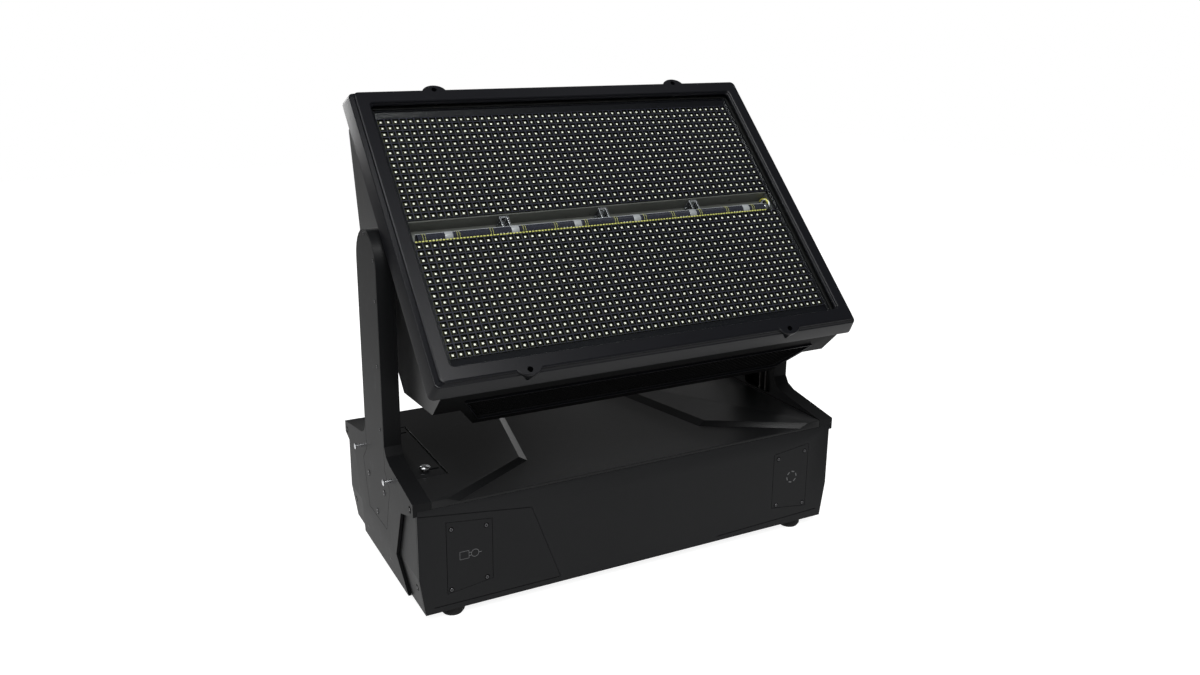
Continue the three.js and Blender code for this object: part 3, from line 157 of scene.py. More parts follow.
def sheet_of(name, middle, size, parts=None):
    """A flat face in X and Y, or a grid of faces."""
    clear()
    if parts:
        bpy.ops.mesh.primitive_grid_add(x_subdivisions=parts[0], y_subdivisions=parts[1], size=1,
                                        location=mm(*middle))
    else:
        bpy.ops.mesh.primitive_plane_add(size=1, location=mm(*middle))
    bpy.context.object.scale = mm(size[0], size[1], 1 / MM)
    return fix(name)


def disc(name, middle, radius, sides):
    clear()
    bpy.ops.mesh.primitive_circle_add(vertices=sides, radius=radius * MM, fill_type="NGON",
                                      location=mm(*middle))
    return fix(name)


def rod(name, middle, radius, length, sides, turn=(0, 0, 0)):
    clear()
    bpy.ops.mesh.primitive_cylinder_add(vertices=sides, radius=radius * MM, depth=length * MM,
                                        location=mm(*middle), rotation=in_radians(turn))
    return fix(name)


def pick_faces(test):
    """Selects the faces whose middle, in millimetres, and normal pass the test."""
    pick_none("FACE")
    shape = bmesh.from_edit_mesh(bpy.context.object.data)
    for face in shape.faces:
        if test(face.calc_center_median() / MM, face.normal):
            face.select_set(True)
    bmesh.update_edit_mesh(bpy.context.object.data)


def pick_edges(test):
    """Selects the edges whose two ends, in millimetres, pass the test."""
    pick_none("EDGE")
    shape = bmesh.from_edit_mesh(bpy.context.object.data)
    for edge in shape.edges:
        if test(edge.verts[0].co / MM, edge.verts[1].co / MM):
            edge.select_set(True)
    bmesh.update_edit_mesh(bpy.context.object.data)


def pull(x=0, z=0):
    bpy.ops.mesh.extrude_region_move(TRANSFORM_OT_translate={"value": mm(x, 0, z)})


def widen(x, y, z):
    bpy.ops.transform.resize(value=(x, y, z))


def draw_in(amount, depth=0, each=False):
    bpy.ops.mesh.inset(thickness=amount * MM, depth=depth * MM, use_individual=each)


def build_up(steps):
    """Pulls the picked face through outlines, each given by half width, half height and level."""
    for last, step in zip(steps, steps[1:]):
        pull(z=step[2] - last[2])
        widen(step[0] / last[0], step[1] / last[1], 1)


def round_edges(width, steps=2, corners=False):
    bpy.ops.mesh.bevel(offset=width * MM, offset_pct=0, segments=steps, profile=0.5,
                       affect="VERTICES" if corners else "EDGES", clamp_overlap=True)


def round_sharp(width, steps=2, angle=SHARP):
    pick_none("EDGE")
    bpy.ops.mesh.edges_select_sharp(sharpness=math.radians(angle))
    round_edges(width, steps)


def bridge_rims():
    """Closes the wall between a frame's two open outlines."""
    pick_none("EDGE")
    bpy.ops.mesh.select_non_manifold()
    bpy.ops.mesh.bridge_edge_loops()


def carve(piece, cutter):
    """Takes the cutter's shape out of the piece."""
    choose(piece)
    step = piece.modifiers.new("carve", "BOOLEAN")
    step.operation = "DIFFERENCE"
    step.solver = "EXACT"
    step.object = cutter
    bpy.ops.object.modifier_apply(modifier=step.name)
    bpy.data.objects.remove(cutter)


def repeat(piece, count, step):
    """Repeats the piece in a row, every copy a step in millimetres further."""
    choose(piece)
    row = piece.modifiers.new("row", "ARRAY")
    row.count = count
    row.use_relative_offset = False
    row.use_constant_offset = True
    row.constant_offset_displace = mm(*step)
    bpy.ops.object.modifier_apply(modifier=row.name)


def set_finishes(piece, *finishes):
    piece.data.materials.clear()
    for material in finishes:
        piece.data.materials.append(material)


def finish(piece, body, *finishes, slot=None, stands_for=(), place=HERE, smooth=35):
    """Puts a modelled piece in its place, shades it and lets it ride on its body."""
    object_mode()
    choose(piece)
    piece.matrix_world = place
    bpy.ops.object.transform_apply(location=True, rotation=True, scale=True)
    if smooth:
        bpy.ops.object.shade_smooth_by_angle(angle=math.radians(smooth))
    if finishes:
        set_finishes(piece, *finishes)
    if stands_for:
        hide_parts(*stands_for)
    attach(piece, body)
    return piece


def copy_to(piece, name, place):
    """A copy of a modelled piece with its own mesh, put at a place."""
    copy = bpy.data.objects.new(name, piece.data.copy())
    copy.data.name = name
    bpy.context.scene.collection.objects.link(copy)
    copy.data.transform(place)
    return copy


def shifted(x, y, z):
    return Matrix.Translation(Vector(mm(x, y, z)))


def facing(x, y, z, direction, spin):
    """The place, in millimetres, of a small part that was modelled at the origin looking up +Z."""
    turn = Vector(direction).to_track_quat("Z", "Y").to_matrix().to_4x4()
    return shifted(x, y, z) @ turn @ Matrix.Rotation(math.radians(spin), 4, "Z")


def join(parts, name):
    """Joins the parts into the first one."""
    clear()
    for part in parts:
        part.select_set(True)
    bpy.context.view_layer.objects.active = parts[0]
    bpy.ops.object.join()
    piece = bpy.context.object
    piece.name = piece.data.name = name
    return piece


def gather(pattern, name, places):
    """Copies a small part to all its places and joins the copies into one piece."""
    copies = [copy_to(pattern, name, place) for place in places]
    bpy.data.objects.remove(pattern)
    return join(copies, name)


def outwards(piece):
    """Turns all faces of a closed piece outwards."""
    edit(piece)
    bpy.ops.mesh.normals_make_consistent(inside=False)
    object_mode()
    return piece


def paint(piece, test, index):
    """Gives faces whose middle, in millimetres, passes the test another of the finishes."""
    for face in piece.data.polygons:
        if test(face.center / MM):
            face.material_index = index


def dressed(node, *finishes, rounding=0, smooth=35, stay=False):
    """A copy of a CAD node, merged and with its long edges rounded, that stands for it."""
    source = frame["nodes"][node]
    piece = bpy.data.objects.new(node + "_rounded", source.data.copy())
    bpy.context.scene.collection.objects.link(piece)
    edit(piece)
    bpy.ops.mesh.remove_doubles(threshold=MERGE_WITHIN * MM)
    bpy.ops.mesh.customdata_custom_splitnormals_clear()
    bpy.ops.mesh.mark_sharp(clear=True)
    bpy.ops.mesh.dissolve_limited(angle_limit=math.radians(FLAT_WITHIN))
    if rounding:
        pick_none("EDGE")
        shape = bmesh.from_edit_mesh(piece.data)
        for edge in shape.edges:
            if len(edge.link_faces) == 2 and edge.calc_length() > SHORTEST_ROUNDED * MM:
                if edge.calc_face_angle(0) > math.radians(SHARP):
                    edge.select_set(True)
        bmesh.update_edit_mesh(piece.data)
        round_edges(rounding)
    object_mode()
    if stay:
        return piece
    return finish(piece, source["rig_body"], *finishes, stands_for=[node], smooth=smooth)


# Effects shared by the finishes
def new_group(name, inputs, outputs):
    group = bpy.data.node_groups.new(name, "ShaderNodeTree")
    for title, value in inputs:
        kind = "NodeSocketVector" if title == "Place" else "NodeSocketFloat"
        made = group.interface.new_socket(name=title, in_out="INPUT", socket_type=kind)
        if value is not None:
            made.default_value = value
    for title in outputs:
        group.interface.new_socket(name=title, in_out="OUTPUT", socket_type="NodeSocketFloat")
    start = group.nodes.new("NodeGroupInput")
    end = group.nodes.new("NodeGroupOutput")
    return group, start, end


def join_up(tree, source, target):
    tree.links.new(source, target)


def value_step(tree, operation, first, second=None, third=None, clamp=False):
    node = tree.nodes.new("ShaderNodeMath")
    node.operation = operation
    node.use_clamp = clamp
    for socket, given in zip(node.inputs, (first, second, third)):
        if given is None:
            continue
        if isinstance(given, (int, float)):
            socket.default_value = given
        else:
            join_up(tree, given, socket)
    return node.outputs[0]


def noise_step(tree, place, scale, detail, roughness=0.55):
    node = tree.nodes.new("ShaderNodeTexNoise")
    join_up(tree, place, node.inputs["Vector"])
    if isinstance(scale, (int, float)):
        node.inputs["Scale"].default_value = scale
    else:
        join_up(tree, scale, node.inputs["Scale"])
    node.inputs["Detail"].default_value = detail
    node.inputs["Roughness"].default_value = roughness
    return node.outputs["Fac"]


def coat_texture():
    """The fine orange peel of a powder coat, with single coarser grains."""
    group, start, end = new_group("coat_texture", [("Place", None), ("Scale", 900.0)],
                                  ["Height", "Speckle"])
    fine = noise_step(group, start.outputs["Place"], start.outputs["Scale"], 2.0)
    wide = value_step(group, "MULTIPLY", start.outputs["Scale"], 0.22)
    soft = noise_step(group, start.outputs["Place"], wide, 2.0)
    height = value_step(group, "MULTIPLY_ADD", soft, 0.6, value_step(group, "MULTIPLY", fine, 0.4))
    join_up(group, height, end.inputs["Height"])
    cells = group.nodes.new("ShaderNodeTexVoronoi")
    join_up(group, start.outputs["Place"], cells.inputs["Vector"])
    join_up(group, start.outputs["Scale"], cells.inputs["Scale"])
    speck = value_step(group, "LESS_THAN", cells.outputs["Distance"], 0.16)
    join_up(group, speck, end.inputs["Speckle"])
    return group


def handling():
    """Broad tone changes and faint wipe marks of a piece that has been handled."""
    group, start, end = new_group("handling", [("Place", None), ("Scale", 9.0)], ["Tone", "Marks"])
    tone = noise_step(group, start.outputs["Place"], start.outputs["Scale"], 3.0)
    join_up(group, tone, end.inputs["Tone"])
    stretch = group.nodes.new("ShaderNodeMapping")
    stretch.inputs["Scale"].default_value = (1.0, 3.5, 1.6)
    stretch.inputs["Rotation"].default_value = (0.4, 0.2, 0.9)
    join_up(group, start.outputs["Place"], stretch.inputs["Vector"])
    wide = value_step(group, "MULTIPLY", start.outputs["Scale"], 4.0)
    marks = noise_step(group, stretch.outputs["Vector"], wide, 5.0, 0.7)
    held = value_step(group, "SUBTRACT", marks, 0.56)
    join_up(group, value_step(group, "MULTIPLY", held, 5.0, clamp=True), end.inputs["Marks"])
    return group


def brushing():
    """Fine parallel lines of brushed metal, along X."""
    group, start, end = new_group("brushing", [("Place", None), ("Scale", 60.0)], ["Lines"])
    stretch = group.nodes.new("ShaderNodeMapping")
    stretch.inputs["Scale"].default_value = (1.0, 40.0, 40.0)
    join_up(group, start.outputs["Place"], stretch.inputs["Vector"])
    lines = noise_step(group, stretch.outputs["Vector"], start.outputs["Scale"], 3.0, 0.7)
    join_up(group, lines, end.inputs["Lines"])
    return group


def moulded_grain():
    """The small closed cells of grained plastic or rubber."""
    group, start, end = new_group("moulded_grain", [("Place", None), ("Scale", 1400.0)], ["Height"])
    cells = group.nodes.new("ShaderNodeTexVoronoi")
    cells.feature = "F1"
    join_up(group, start.outputs["Place"], cells.inputs["Vector"])
    join_up(group, start.outputs["Scale"], cells.inputs["Scale"])
    join_up(group, cells.outputs["Distance"], end.inputs["Height"])
    return group


COAT_TEXTURE = coat_texture()
HANDLING = handling()
BRUSHING = brushing()
MOULDED_GRAIN = moulded_grain()


def place_group(tree, group, place, scale):
    node = tree.nodes.new("ShaderNodeGroup")
    node.node_tree = group
    join_up(tree, place, node.inputs["Place"])
    node.inputs["Scale"].default_value = scale
    return node


def mix_colour(tree, mask, first, second):
    node = tree.nodes.new("ShaderNodeMix")
    node.data_type = "RGBA"
    join_up(tree, mask, node.inputs["Factor"])
    for socket, given in ((node.inputs[6], first), (node.inputs[7], second)):
        if isinstance(given, tuple):
            socket.default_value = (*given[:3], 1.0)
        else:
            join_up(tree, given, socket)
    return node.outputs[2]


def new_finish(name):
    material = bpy.data.materials.new(name)
    material.use_nodes = True
    tree = material.node_tree
    shader = tree.nodes["Principled BSDF"]
    place = tree.nodes.new("ShaderNodeTexCoord").outputs["Object"]
    return material, tree, shader, place


def bump(tree, shader, height, depth, strength):
    node = tree.nodes.new("ShaderNodeBump")
    node.inputs["Strength"].default_value = strength
    node.inputs["Distance"].default_value = depth * MM
    join_up(tree, height, node.inputs["Height"])
    join_up(tree, node.outputs["Normal"], shader.inputs["Normal"])


def spread(tree, mask, low, high):
    node = tree.nodes.new("ShaderNodeMapRange")
    join_up(tree, mask, node.inputs["Value"])
    node.inputs["To Min"].default_value = low
    node.inputs["To Max"].default_value = high
    return node.outputs["Result"]


def coat(name, dark, light, roughness, specular, peel=900.0, depth=0.02):
    """Powder coat: satin, with orange peel, tone changes and faint wipe marks."""
    material, tree, shader, place = new_finish(name)
    used = place_group(tree, HANDLING, place, 9.0)
    grain = place_group(tree, COAT_TEXTURE, place, peel)
    colour = mix_colour(tree, used.outputs["Tone"], dark, light)
    speckled = mix_colour(tree, value_step(tree, "MULTIPLY", grain.outputs["Speckle"], 0.35),
                          colour, tuple(min(1.0, c * 2.2) for c in light))
    join_up(tree, speckled, shader.inputs["Base Color"])
    rough = spread(tree, used.outputs["Marks"], roughness, roughness - 0.05)
    join_up(tree, rough, shader.inputs["Roughness"])
    shader.inputs["Specular IOR Level"].default_value = specular
    bump(tree, shader, grain.outputs["Height"], depth, 0.5)
    return material


def metal(name, dark, light, low, high, scale):
    """Bare or plated metal with brushed lines."""
    material, tree, shader, place = new_finish(name)
    used = place_group(tree, HANDLING, place, 25.0)
    lines = place_group(tree, BRUSHING, place, scale)
    join_up(tree, mix_colour(tree, used.outputs["Tone"], dark, light), shader.inputs["Base Color"])
    join_up(tree, spread(tree, lines.outputs["Lines"], low, high), shader.inputs["Roughness"])
    shader.inputs["Metallic"].default_value = 1.0
    bump(tree, shader, lines.outputs["Lines"], 0.004, 0.3)
    return material


def plastic(name, dark, light, roughness, specular=0.4, scale=1400.0, depth=0.02):
    """Moulded plastic or rubber with a closed grain."""
    material, tree, shader, place = new_finish(name)
    used = place_group(tree, HANDLING, place, 14.0)
    grain = place_group(tree, MOULDED_GRAIN, place, scale)
    join_up(tree, mix_colour(tree, used.outputs["Tone"], dark, light), shader.inputs["Base Color"])
    join_up(tree, spread(tree, used.outputs["Marks"], roughness, roughness - 0.06),
            shader.inputs["Roughness"])
    shader.inputs["Specular IOR Level"].default_value = specular
    bump(tree, shader, grain.outputs["Height"], depth, 0.35)
    return material


def see_through(name, tint, roughness, ior, weight, specular):
    """Smoky glass that lets part of the light through, with a trace of haze."""
    material, tree, shader, place = new_finish(name)
    used = place_group(tree, HANDLING, place, 12.0)
    join_up(tree, mix_colour(tree, used.outputs["Tone"], tint, tuple(c * 0.97 for c in tint)),
            shader.inputs["Base Color"])
    join_up(tree, spread(tree, used.outputs["Marks"], roughness, roughness + 0.02),
            shader.inputs["Roughness"])
    shader.inputs["Transmission Weight"].default_value = weight
    shader.inputs["IOR"].default_value = ior
    shader.inputs["Specular IOR Level"].default_value = specular
    return material


def thin_pane(name, tint, haze, ior):
    """A thin clear pane: what lies behind it shows, under a faint soft sheen."""
    material, tree, shader, place = new_finish(name)
    used = place_group(tree, HANDLING, place, 12.0)
    through = tree.nodes.new("ShaderNodeBsdfTransparent")
    join_up(tree, mix_colour(tree, used.outputs["Tone"], tint, tuple(c * 0.98 for c in tint)),
            through.inputs["Color"])
    shader.inputs["Base Color"].default_value = (0.9, 0.9, 0.9, 1)
    shader.inputs["Metallic"].default_value = 1.0
    join_up(tree, spread(tree, used.outputs["Marks"], haze, haze + 0.03),
            shader.inputs["Roughness"])
    sheen = tree.nodes.new("ShaderNodeFresnel")
    sheen.inputs["IOR"].default_value = ior
    blend = tree.nodes.new("ShaderNodeMixShader")
    join_up(tree, sheen.outputs["Fac"], blend.inputs[0])
    join_up(tree, through.outputs["BSDF"], blend.inputs[1])
    join_up(tree, shader.outputs["BSDF"], blend.inputs[2])
    join_up(tree, blend.outputs["Shader"], tree.nodes["Material Output"].inputs["Surface"])
    return material


def track_board(name, dark, line, pitch, width):
    """Solder resist of the lamp boards, with lighter tracks of a width on a square pitch."""
    material, tree, shader, place = new_finish(name)
    used = place_group(tree, HANDLING, place, 30.0)
    flat = tree.nodes.new("ShaderNodeMapping")
    flat.inputs["Location"].default_value = HEAD_PLACE.inverted().to_translation()
    flat.inputs["Rotation"].default_value = HEAD_PLACE.inverted().to_euler()
    join_up(tree, place, flat.inputs["Vector"])
    split = tree.nodes.new("ShaderNodeSeparateXYZ")
    join_up(tree, flat.outputs["Vector"], split.inputs["Vector"])
    masks = []
    for axis in ("X", "Y"):
        turn = value_step(tree, "MULTIPLY", split.outputs[axis], 1000 / pitch)
        part = value_step(tree, "FRACT", turn)
        masks.append(value_step(tree, "LESS_THAN", part, width / pitch))
    track = value_step(tree, "MAXIMUM", masks[0], masks[1])
    base = mix_colour(tree, used.outputs["Tone"], dark, tuple(c * 1.5 for c in dark))
    join_up(tree, mix_colour(tree, track, base, line), shader.inputs["Base Color"])
    shader.inputs["Roughness"].default_value = 0.45
    shader.inputs["Specular IOR Level"].default_value = 0.1
    bump(tree, shader, track, 0.03, 0.5)
    return material


# The object's finishes
CASE_COAT = coat("case_coat", (0.0060, 0.0062, 0.0068), (0.0080, 0.0083, 0.0090), 0.45, 0.16)
DECK_COAT = coat("deck_coat", (0.0055, 0.0057, 0.0060), (0.0072, 0.0075, 0.0080), 0.33, 0.2,
                 depth=0.012)
ARM_COAT = coat("arm_coat", (0.0046, 0.0048, 0.0052), (0.0062, 0.0065, 0.0070), 0.42, 0.09)
HOUSING_COAT = coat("housing_coat", (0.0075, 0.0077, 0.0080), (0.0098, 0.0100, 0.0104), 0.34, 0.36)
BEZEL_COAT = coat("bezel_coat_fine", (0.0040, 0.0042, 0.0055), (0.0054, 0.0057, 0.0072), 0.31, 0.17,
                  peel=1100.0, depth=0.012)
SEAM_SHADE = plastic("seam_shade", (0.0012, 0.0012, 0.0013), (0.002, 0.002, 0.002), 0.9, 0.1)
FOOT_RUBBER = plastic("foot_rubber", (0.008, 0.008, 0.008), (0.013, 0.013, 0.013), 0.75, 0.2, 900.0,
                      0.05)
SEAL_RUBBER = plastic("seal_rubber", (0.006, 0.006, 0.0065), (0.01, 0.01, 0.01), 0.6, 0.25, 1600.0)
BLACK_PLASTIC = plastic("black_plastic_grain", (0.009, 0.009, 0.0095), (0.014, 0.014, 0.015), 0.5)
LOUVRE_PLASTIC = plastic("louvre_plastic", (0.014, 0.014, 0.022), (0.020, 0.020, 0.030), 0.5, 0.12)
# Painted shade: the louvre's cell walls, darker and yellower than the tops of its bars
LOUVRE_WALL_SHADE = plastic("louvre_wall_painted_shade", (0.0085, 0.0088, 0.0032), (0.0120, 0.0125, 0.0046), 0.6, 0.05)
SCREW_BLACK = metal("screw_black", (0.07, 0.07, 0.073), (0.11, 0.11, 0.115), 0.22, 0.36, 200.0)
PLATED = metal("plated_steel_bright", (0.62, 0.63, 0.65), (0.74, 0.75, 0.77), 0.16, 0.3, 160.0)
ALUMINIUM = metal("aluminium_bare", (0.44, 0.45, 0.47), (0.54, 0.55, 0.57), 0.3, 0.48, 60.0)
DARK_REFLECTOR = plastic("reflector_dark", (0.110, 0.112, 0.104), (0.145, 0.147, 0.136), 0.30, 0.5,
                         depth=0.004)
CIRCUIT_GREEN = plastic("circuit_green_resist", (0.014, 0.07, 0.025), (0.02, 0.09, 0.034), 0.35,
                        0.5)
LAMP_PITCH = 7.0
LAMP_RESIST = track_board("lamp_resist", (0.006, 0.006, 0.004), (0.012, 0.012, 0.007), LAMP_PITCH,
                          0.6)
FINE = 3000.0
LAMP_BODY = plastic("lamp_body", (0.005, 0.005, 0.003), (0.008, 0.008, 0.005), 0.5, 0.1, FINE)
LAMP_PAD = plastic("lamp_pad_resist", (0.050, 0.052, 0.010), (0.066, 0.069, 0.015), 0.45, 0.1, FINE)
LAMP_LIGHT = plastic("lamp_phosphor", (0.68, 0.68, 0.58), (0.80, 0.80, 0.70), 0.4, 0.5, FINE)
LINE_LIGHT = plastic("line_phosphor", (0.42, 0.41, 0.10), (0.54, 0.53, 0.14), 0.4, 0.5, FINE)
# Painted shade: a darker coat that stands for the shade under the head, on its underside and its
# vent mesh
UNDERSIDE_SHADE_COAT = coat("underside_painted_shade_coat", (0.0020, 0.0021, 0.0022), (0.0030, 0.0031, 0.0033), 0.5, 0.05)
PANE = thin_pane("pane_glass", (0.97, 0.98, 0.975), 0.14, 1.03)
TUBE_GLASS = see_through("tube_glass", (0.028, 0.029, 0.040), 0.06, 1.47, 0.25, 0.5)
CLIP_CLEAR = thin_pane("clip_clear", (0.90, 0.91, 0.93), 0.10, 1.5)
# Painted highlight: a light grey for the clips' edges and for the wire along the tube
HIGHLIGHT_GREY = plastic("painted_highlight_grey", (0.40, 0.41, 0.44), (0.60, 0.61, 0.64), 0.25)
SLEEVE = plastic("frosted_sleeve", (0.20, 0.205, 0.22), (0.32, 0.325, 0.34), 0.35, 0.5, 900.0, 0.05)
DISPLAY = plastic("display_glass", (0.003, 0.003, 0.004), (0.004, 0.004, 0.005), 0.08, 0.5, 200.0,
                  0.0)
MARK_GREY = plastic("mark_grey", (0.095, 0.097, 0.10), (0.12, 0.122, 0.125), 0.5)
WIRE_YELLOW = plastic("wire_yellow", (0.62, 0.58, 0.08), (0.7, 0.66, 0.12), 0.4)
LEAD_GREY = plastic("lead_grey", (0.020, 0.018, 0.017), (0.030, 0.027, 0.026), 0.4)
LEAD_WHITE = plastic("lead_white", (0.62, 0.64, 0.68), (0.74, 0.75, 0.78), 0.3)

# Finishes of the CAD nodes that keep their own shape
KEPT = {
    CASE_COAT: ("base_tub", "rear_panel"),
    PANE: ("front_glass",),
    SEAL_RUBBER: ("glass_gasket", "tilt_belt"),
    LAMP_RESIST: ("lamp_board_upper", "lamp_board_lower"),
    DARK_REFLECTOR: ("trough_reflector",),
    TUBE_GLASS: ("clear_tube",),
    ALUMINIUM: ("heat_sink", "tilt_axle_left", "tilt_axle_right", "driven_pulley", "motor_pulley",
                "power_supply"),
    BLACK_PLASTIC: ("fan_frame_left", "fan_frame_right", "fan_rotor_left", "fan_rotor_right",
                    "tilt_motor", "menu_button_1", "menu_button_2", "menu_button_3",
                    "menu_button_4"),
    PLATED: ("tilt_bearing_left", "tilt_bearing_right", "network_socket"),
    CIRCUIT_GREEN: ("control_board",),
    DISPLAY: ("display_window",),
}
for material, nodes in KEPT.items():
    for node in nodes:
        set_finishes(frame["nodes"][node], material)


# Bezel: built up from the back in steps, then opened in the middle
BEZEL_STEPS = [
    # half width, half height and w of each outline from the back of the wall to the front rim
    (212.6, 152.6, -8.5), (212.5, 152.5, -7.0), (209.8, 149.8, 6.0), (209.4, 149.4, 6.5),
    (209.0, 149.0, 6.6), (206.5, 148.0, 8.3), (206.0, 147.6, 8.7), (206.0, 147.6, 10.1),
    (205.6, 147.2, 10.6), (204.6, 146.2, 11.0),
    # and back down the inside of the opening, over its ledges and the seat of the glass
    (194.9, 135.6, 11.0), (194.1, 134.8, 10.2), (194.0, 134.7, 9.0), (193.5, 134.2, 8.5),
    (193.2, 133.9, 7.4), (193.2, 133.9, 6.3), (197.4, 138.1, 6.2), (197.4, 138.1, 2.5),
    (200.4, 141.1, 2.4), (200.4, 141.1, -1.4), (210.6, 150.6, -1.5), (210.6, 150.6, -8.5),
]
BEZEL_CORNER = 4.5
EAR_U, EAR_V = 130, 144.4
EAR_HOLE, EAR_HOLE_V = 2.6, 147.6


def drop_middle_faces():
    """Takes away the flat faces in the middle, at a frame's back and front."""
    pick_faces(lambda middle, normal: abs(middle.x) < 1 and abs(middle.y) < 1)
    bpy.ops.mesh.delete(type="ONLY_FACE")


def make_bezel():
    half_width, half_height, back = BEZEL_STEPS[0]
    piece = sheet_of("bezel_frame", (0, 0, back), (2 * half_width, 2 * half_height))
    edit(piece)
    pick_all("VERT")
    round_edges(BEZEL_CORNER, 7, corners=True)
    pick_all("FACE")
    build_up(BEZEL_STEPS)
    drop_middle_faces()
    bridge_rims()
    return outwards(piece)


EAR_STEPS = [
    # half width, half height and height w of each outline, from the foot to the rim
    (3.0, 7.4, -0.4), (5.2, 7.9, 2.4), (8.0, 8.2, 5.2), (10.8, 8.5, 7.8), (11.9, 8.6, 9.2),
    (12.0, 8.6, 10.3), (11.7, 8.4, 10.8), (11.2, 8.0, 11.02),
]


def bezel_ear():
    """A screw boss that swells out of the rim and narrows towards the back, with its hole."""
    half_width, half_height, foot = EAR_STEPS[0]
    piece = disc("bezel_ear", (0, 0, foot), 1, 36)
    edit(piece)
    widen(half_width, half_height, 1)
    build_up(EAR_STEPS)
    outwards(piece)
    carve(piece, rod("ear_hole", (0, 3.2, 11), EAR_HOLE, 14, 20))
    return piece


bezel = make_bezel()
for side_u in (-1, 1):
    for side_v in (-1, 1):
        carve(bezel, rod("ear_hole", (side_u * EAR_U, side_v * EAR_HOLE_V, 11), EAR_HOLE, 13.6, 20))
finish(bezel, "head", BEZEL_COAT, stands_for=["bezel"], place=HEAD_PLACE, slot="bezel_coat",
       smooth=14)
ear = bezel_ear()
for number, (side_u, side_v) in enumerate(((-1, -1), (1, -1), (-1, 1), (1, 1)), 1):
    turn = Matrix.Rotation(0 if side_v > 0 else math.pi, 4, "Z")
    boss = copy_to(ear, f"bezel_ear_{number}",
                   HEAD_PLACE @ shifted(side_u * EAR_U, side_v * EAR_V, 0) @ turn)
    finish(boss, "head", BEZEL_COAT, slot="bezel_coat", smooth=22)
bpy.data.objects.remove(ear)


# Screws: a low head with a round key hole, in a ring of painted shade that is RING_RISE high
RING_ROOT, RING_RISE = 0.2, 0.03


def screw(name, radius, height, key, ring):
    piece = disc(name, (0, 0, -RING_ROOT), radius * ring, 24)
    edit(piece)
    pull(z=RING_ROOT + RING_RISE)
    draw_in(radius * (ring - 1))
    pull(z=height * 0.6)
    pull(z=height * 0.3)
    widen(0.93, 0.93, 1)
    pull(z=height * 0.1)
    widen(0.88, 0.88, 1)
    draw_in(radius * 0.81 - key)
    pull(z=-height * 0.8)
    outwards(piece)
    set_finishes(piece, SCREW_BLACK, SEAM_SHADE)
    # The ring round the head and the key hole's bottom take the painted shade
    paint(piece, lambda c: c.z < RING_RISE + 0.01 and math.hypot(c.x, c.y) > radius * 1.02, 1)
    paint(piece, lambda c: c.z < height * 0.3 and math.hypot(c.x, c.y) < key * 0.6, 1)
    return piece


# Lamps: one lamp, repeated over both fields, with the louvre that stands between them
LAMP_WIDTH = 4.4
LAMP_COLUMNS, LAMP_ROWS = 54, 16
FIRST_LAMP_U, FIRST_LAMP_V = -185.5, 15.25


def make_lamp(name):
    """A lamp on its square of solder resist: dark body, bright square in the middle."""
    piece = block(name, (0, 0, -1.35), (LAMP_WIDTH, LAMP_WIDTH, 0.24))
    edit(piece)
    pick_faces(lambda middle, normal: normal.z > 0.9)
    draw_in(0.42)
    pull(z=1.05)
    draw_in(0.86)
    pull(z=0.12)
    widen(0.95, 0.95, 1)
    object_mode()
    set_finishes(piece, LAMP_BODY, LAMP_LIGHT, LAMP_PAD)
    paint(piece, lambda c: c.z > -0.12, 1)
    paint(piece, lambda c: c.z < -1.2, 2)
    return piece


def make_lamp_field(name, side):
    piece = make_lamp(name)
    choose(piece)
    bpy.ops.transform.translate(value=mm(FIRST_LAMP_U, side * FIRST_LAMP_V, 0))
    bpy.ops.object.transform_apply(location=True, rotation=True, scale=True)
    repeat(piece, LAMP_COLUMNS, (LAMP_PITCH, 0, 0))
    repeat(piece, LAMP_ROWS, (0, side * LAMP_PITCH, 0))
    return finish(piece, "head", place=HEAD_PLACE, slot="lamp_board", smooth=None)


BAR_HALF_WIDTH, BAR_HEIGHT = 0.62, 1.6


def make_louvre_field(side):
    """One open cell round every lamp of a field, in bars whose sides are painted darker and
    yellower than their tops, as painted shade inside the cells.
    """
    middle_v = FIRST_LAMP_V + (LAMP_ROWS - 1) * LAMP_PITCH / 2
    piece = sheet_of("louvre_field", (0, side * middle_v, 0.55),
                     (LAMP_COLUMNS * LAMP_PITCH, LAMP_ROWS * LAMP_PITCH), (LAMP_COLUMNS, LAMP_ROWS))
    edit(piece)
    draw_in(BAR_HALF_WIDTH, each=True)
    bpy.ops.mesh.extrude_faces_move(TRANSFORM_OT_shrink_fatten={"value": -BAR_HEIGHT * MM})
    bpy.ops.mesh.delete(type="FACE")
    object_mode()
    set_finishes(piece, LOUVRE_PLASTIC, LOUVRE_WALL_SHADE)
    # Faces that stand upright, the cell walls, take the painted shade
    for face in piece.data.polygons:
        face.material_index = 1 if abs(face.normal.z) < 0.5 else 0
    return piece


def make_louvre_frame():
    """The stepped frame round both fields, which reaches up the bezel's inner wall."""
    piece = sheet_of("louvre_frame", (0, 0, -1.3), (383.6, 265.0))
    edit(piece)
    pull(z=3.4)
    widen(0.9985, 0.998, 1)
    draw_in(1.3)
    pull(z=-1.1)
    draw_in(0.9)
    pull(z=-1.1)
    widen(189.2 / 189.3, 124.2 / 130.0, 1)
    pull(z=-1.1)
    drop_middle_faces()
    bridge_rims()
    round_sharp(0.35, 1, 60)
    object_mode()
    return outwards(piece)


def make_louvre():
    parts = [make_louvre_field(1), make_louvre_field(-1), make_louvre_frame()]
    set_finishes(parts[2], BEZEL_COAT)
    return finish(join(parts, "louvre_fine"), "head", place=HEAD_PLACE, stands_for=["lamp_louvre"],
                  slot="black_plastic", smooth=None)


for part, side in (("upper", 1), ("lower", -1)):
    make_lamp_field(f"lamps_{part}", side)
make_louvre()

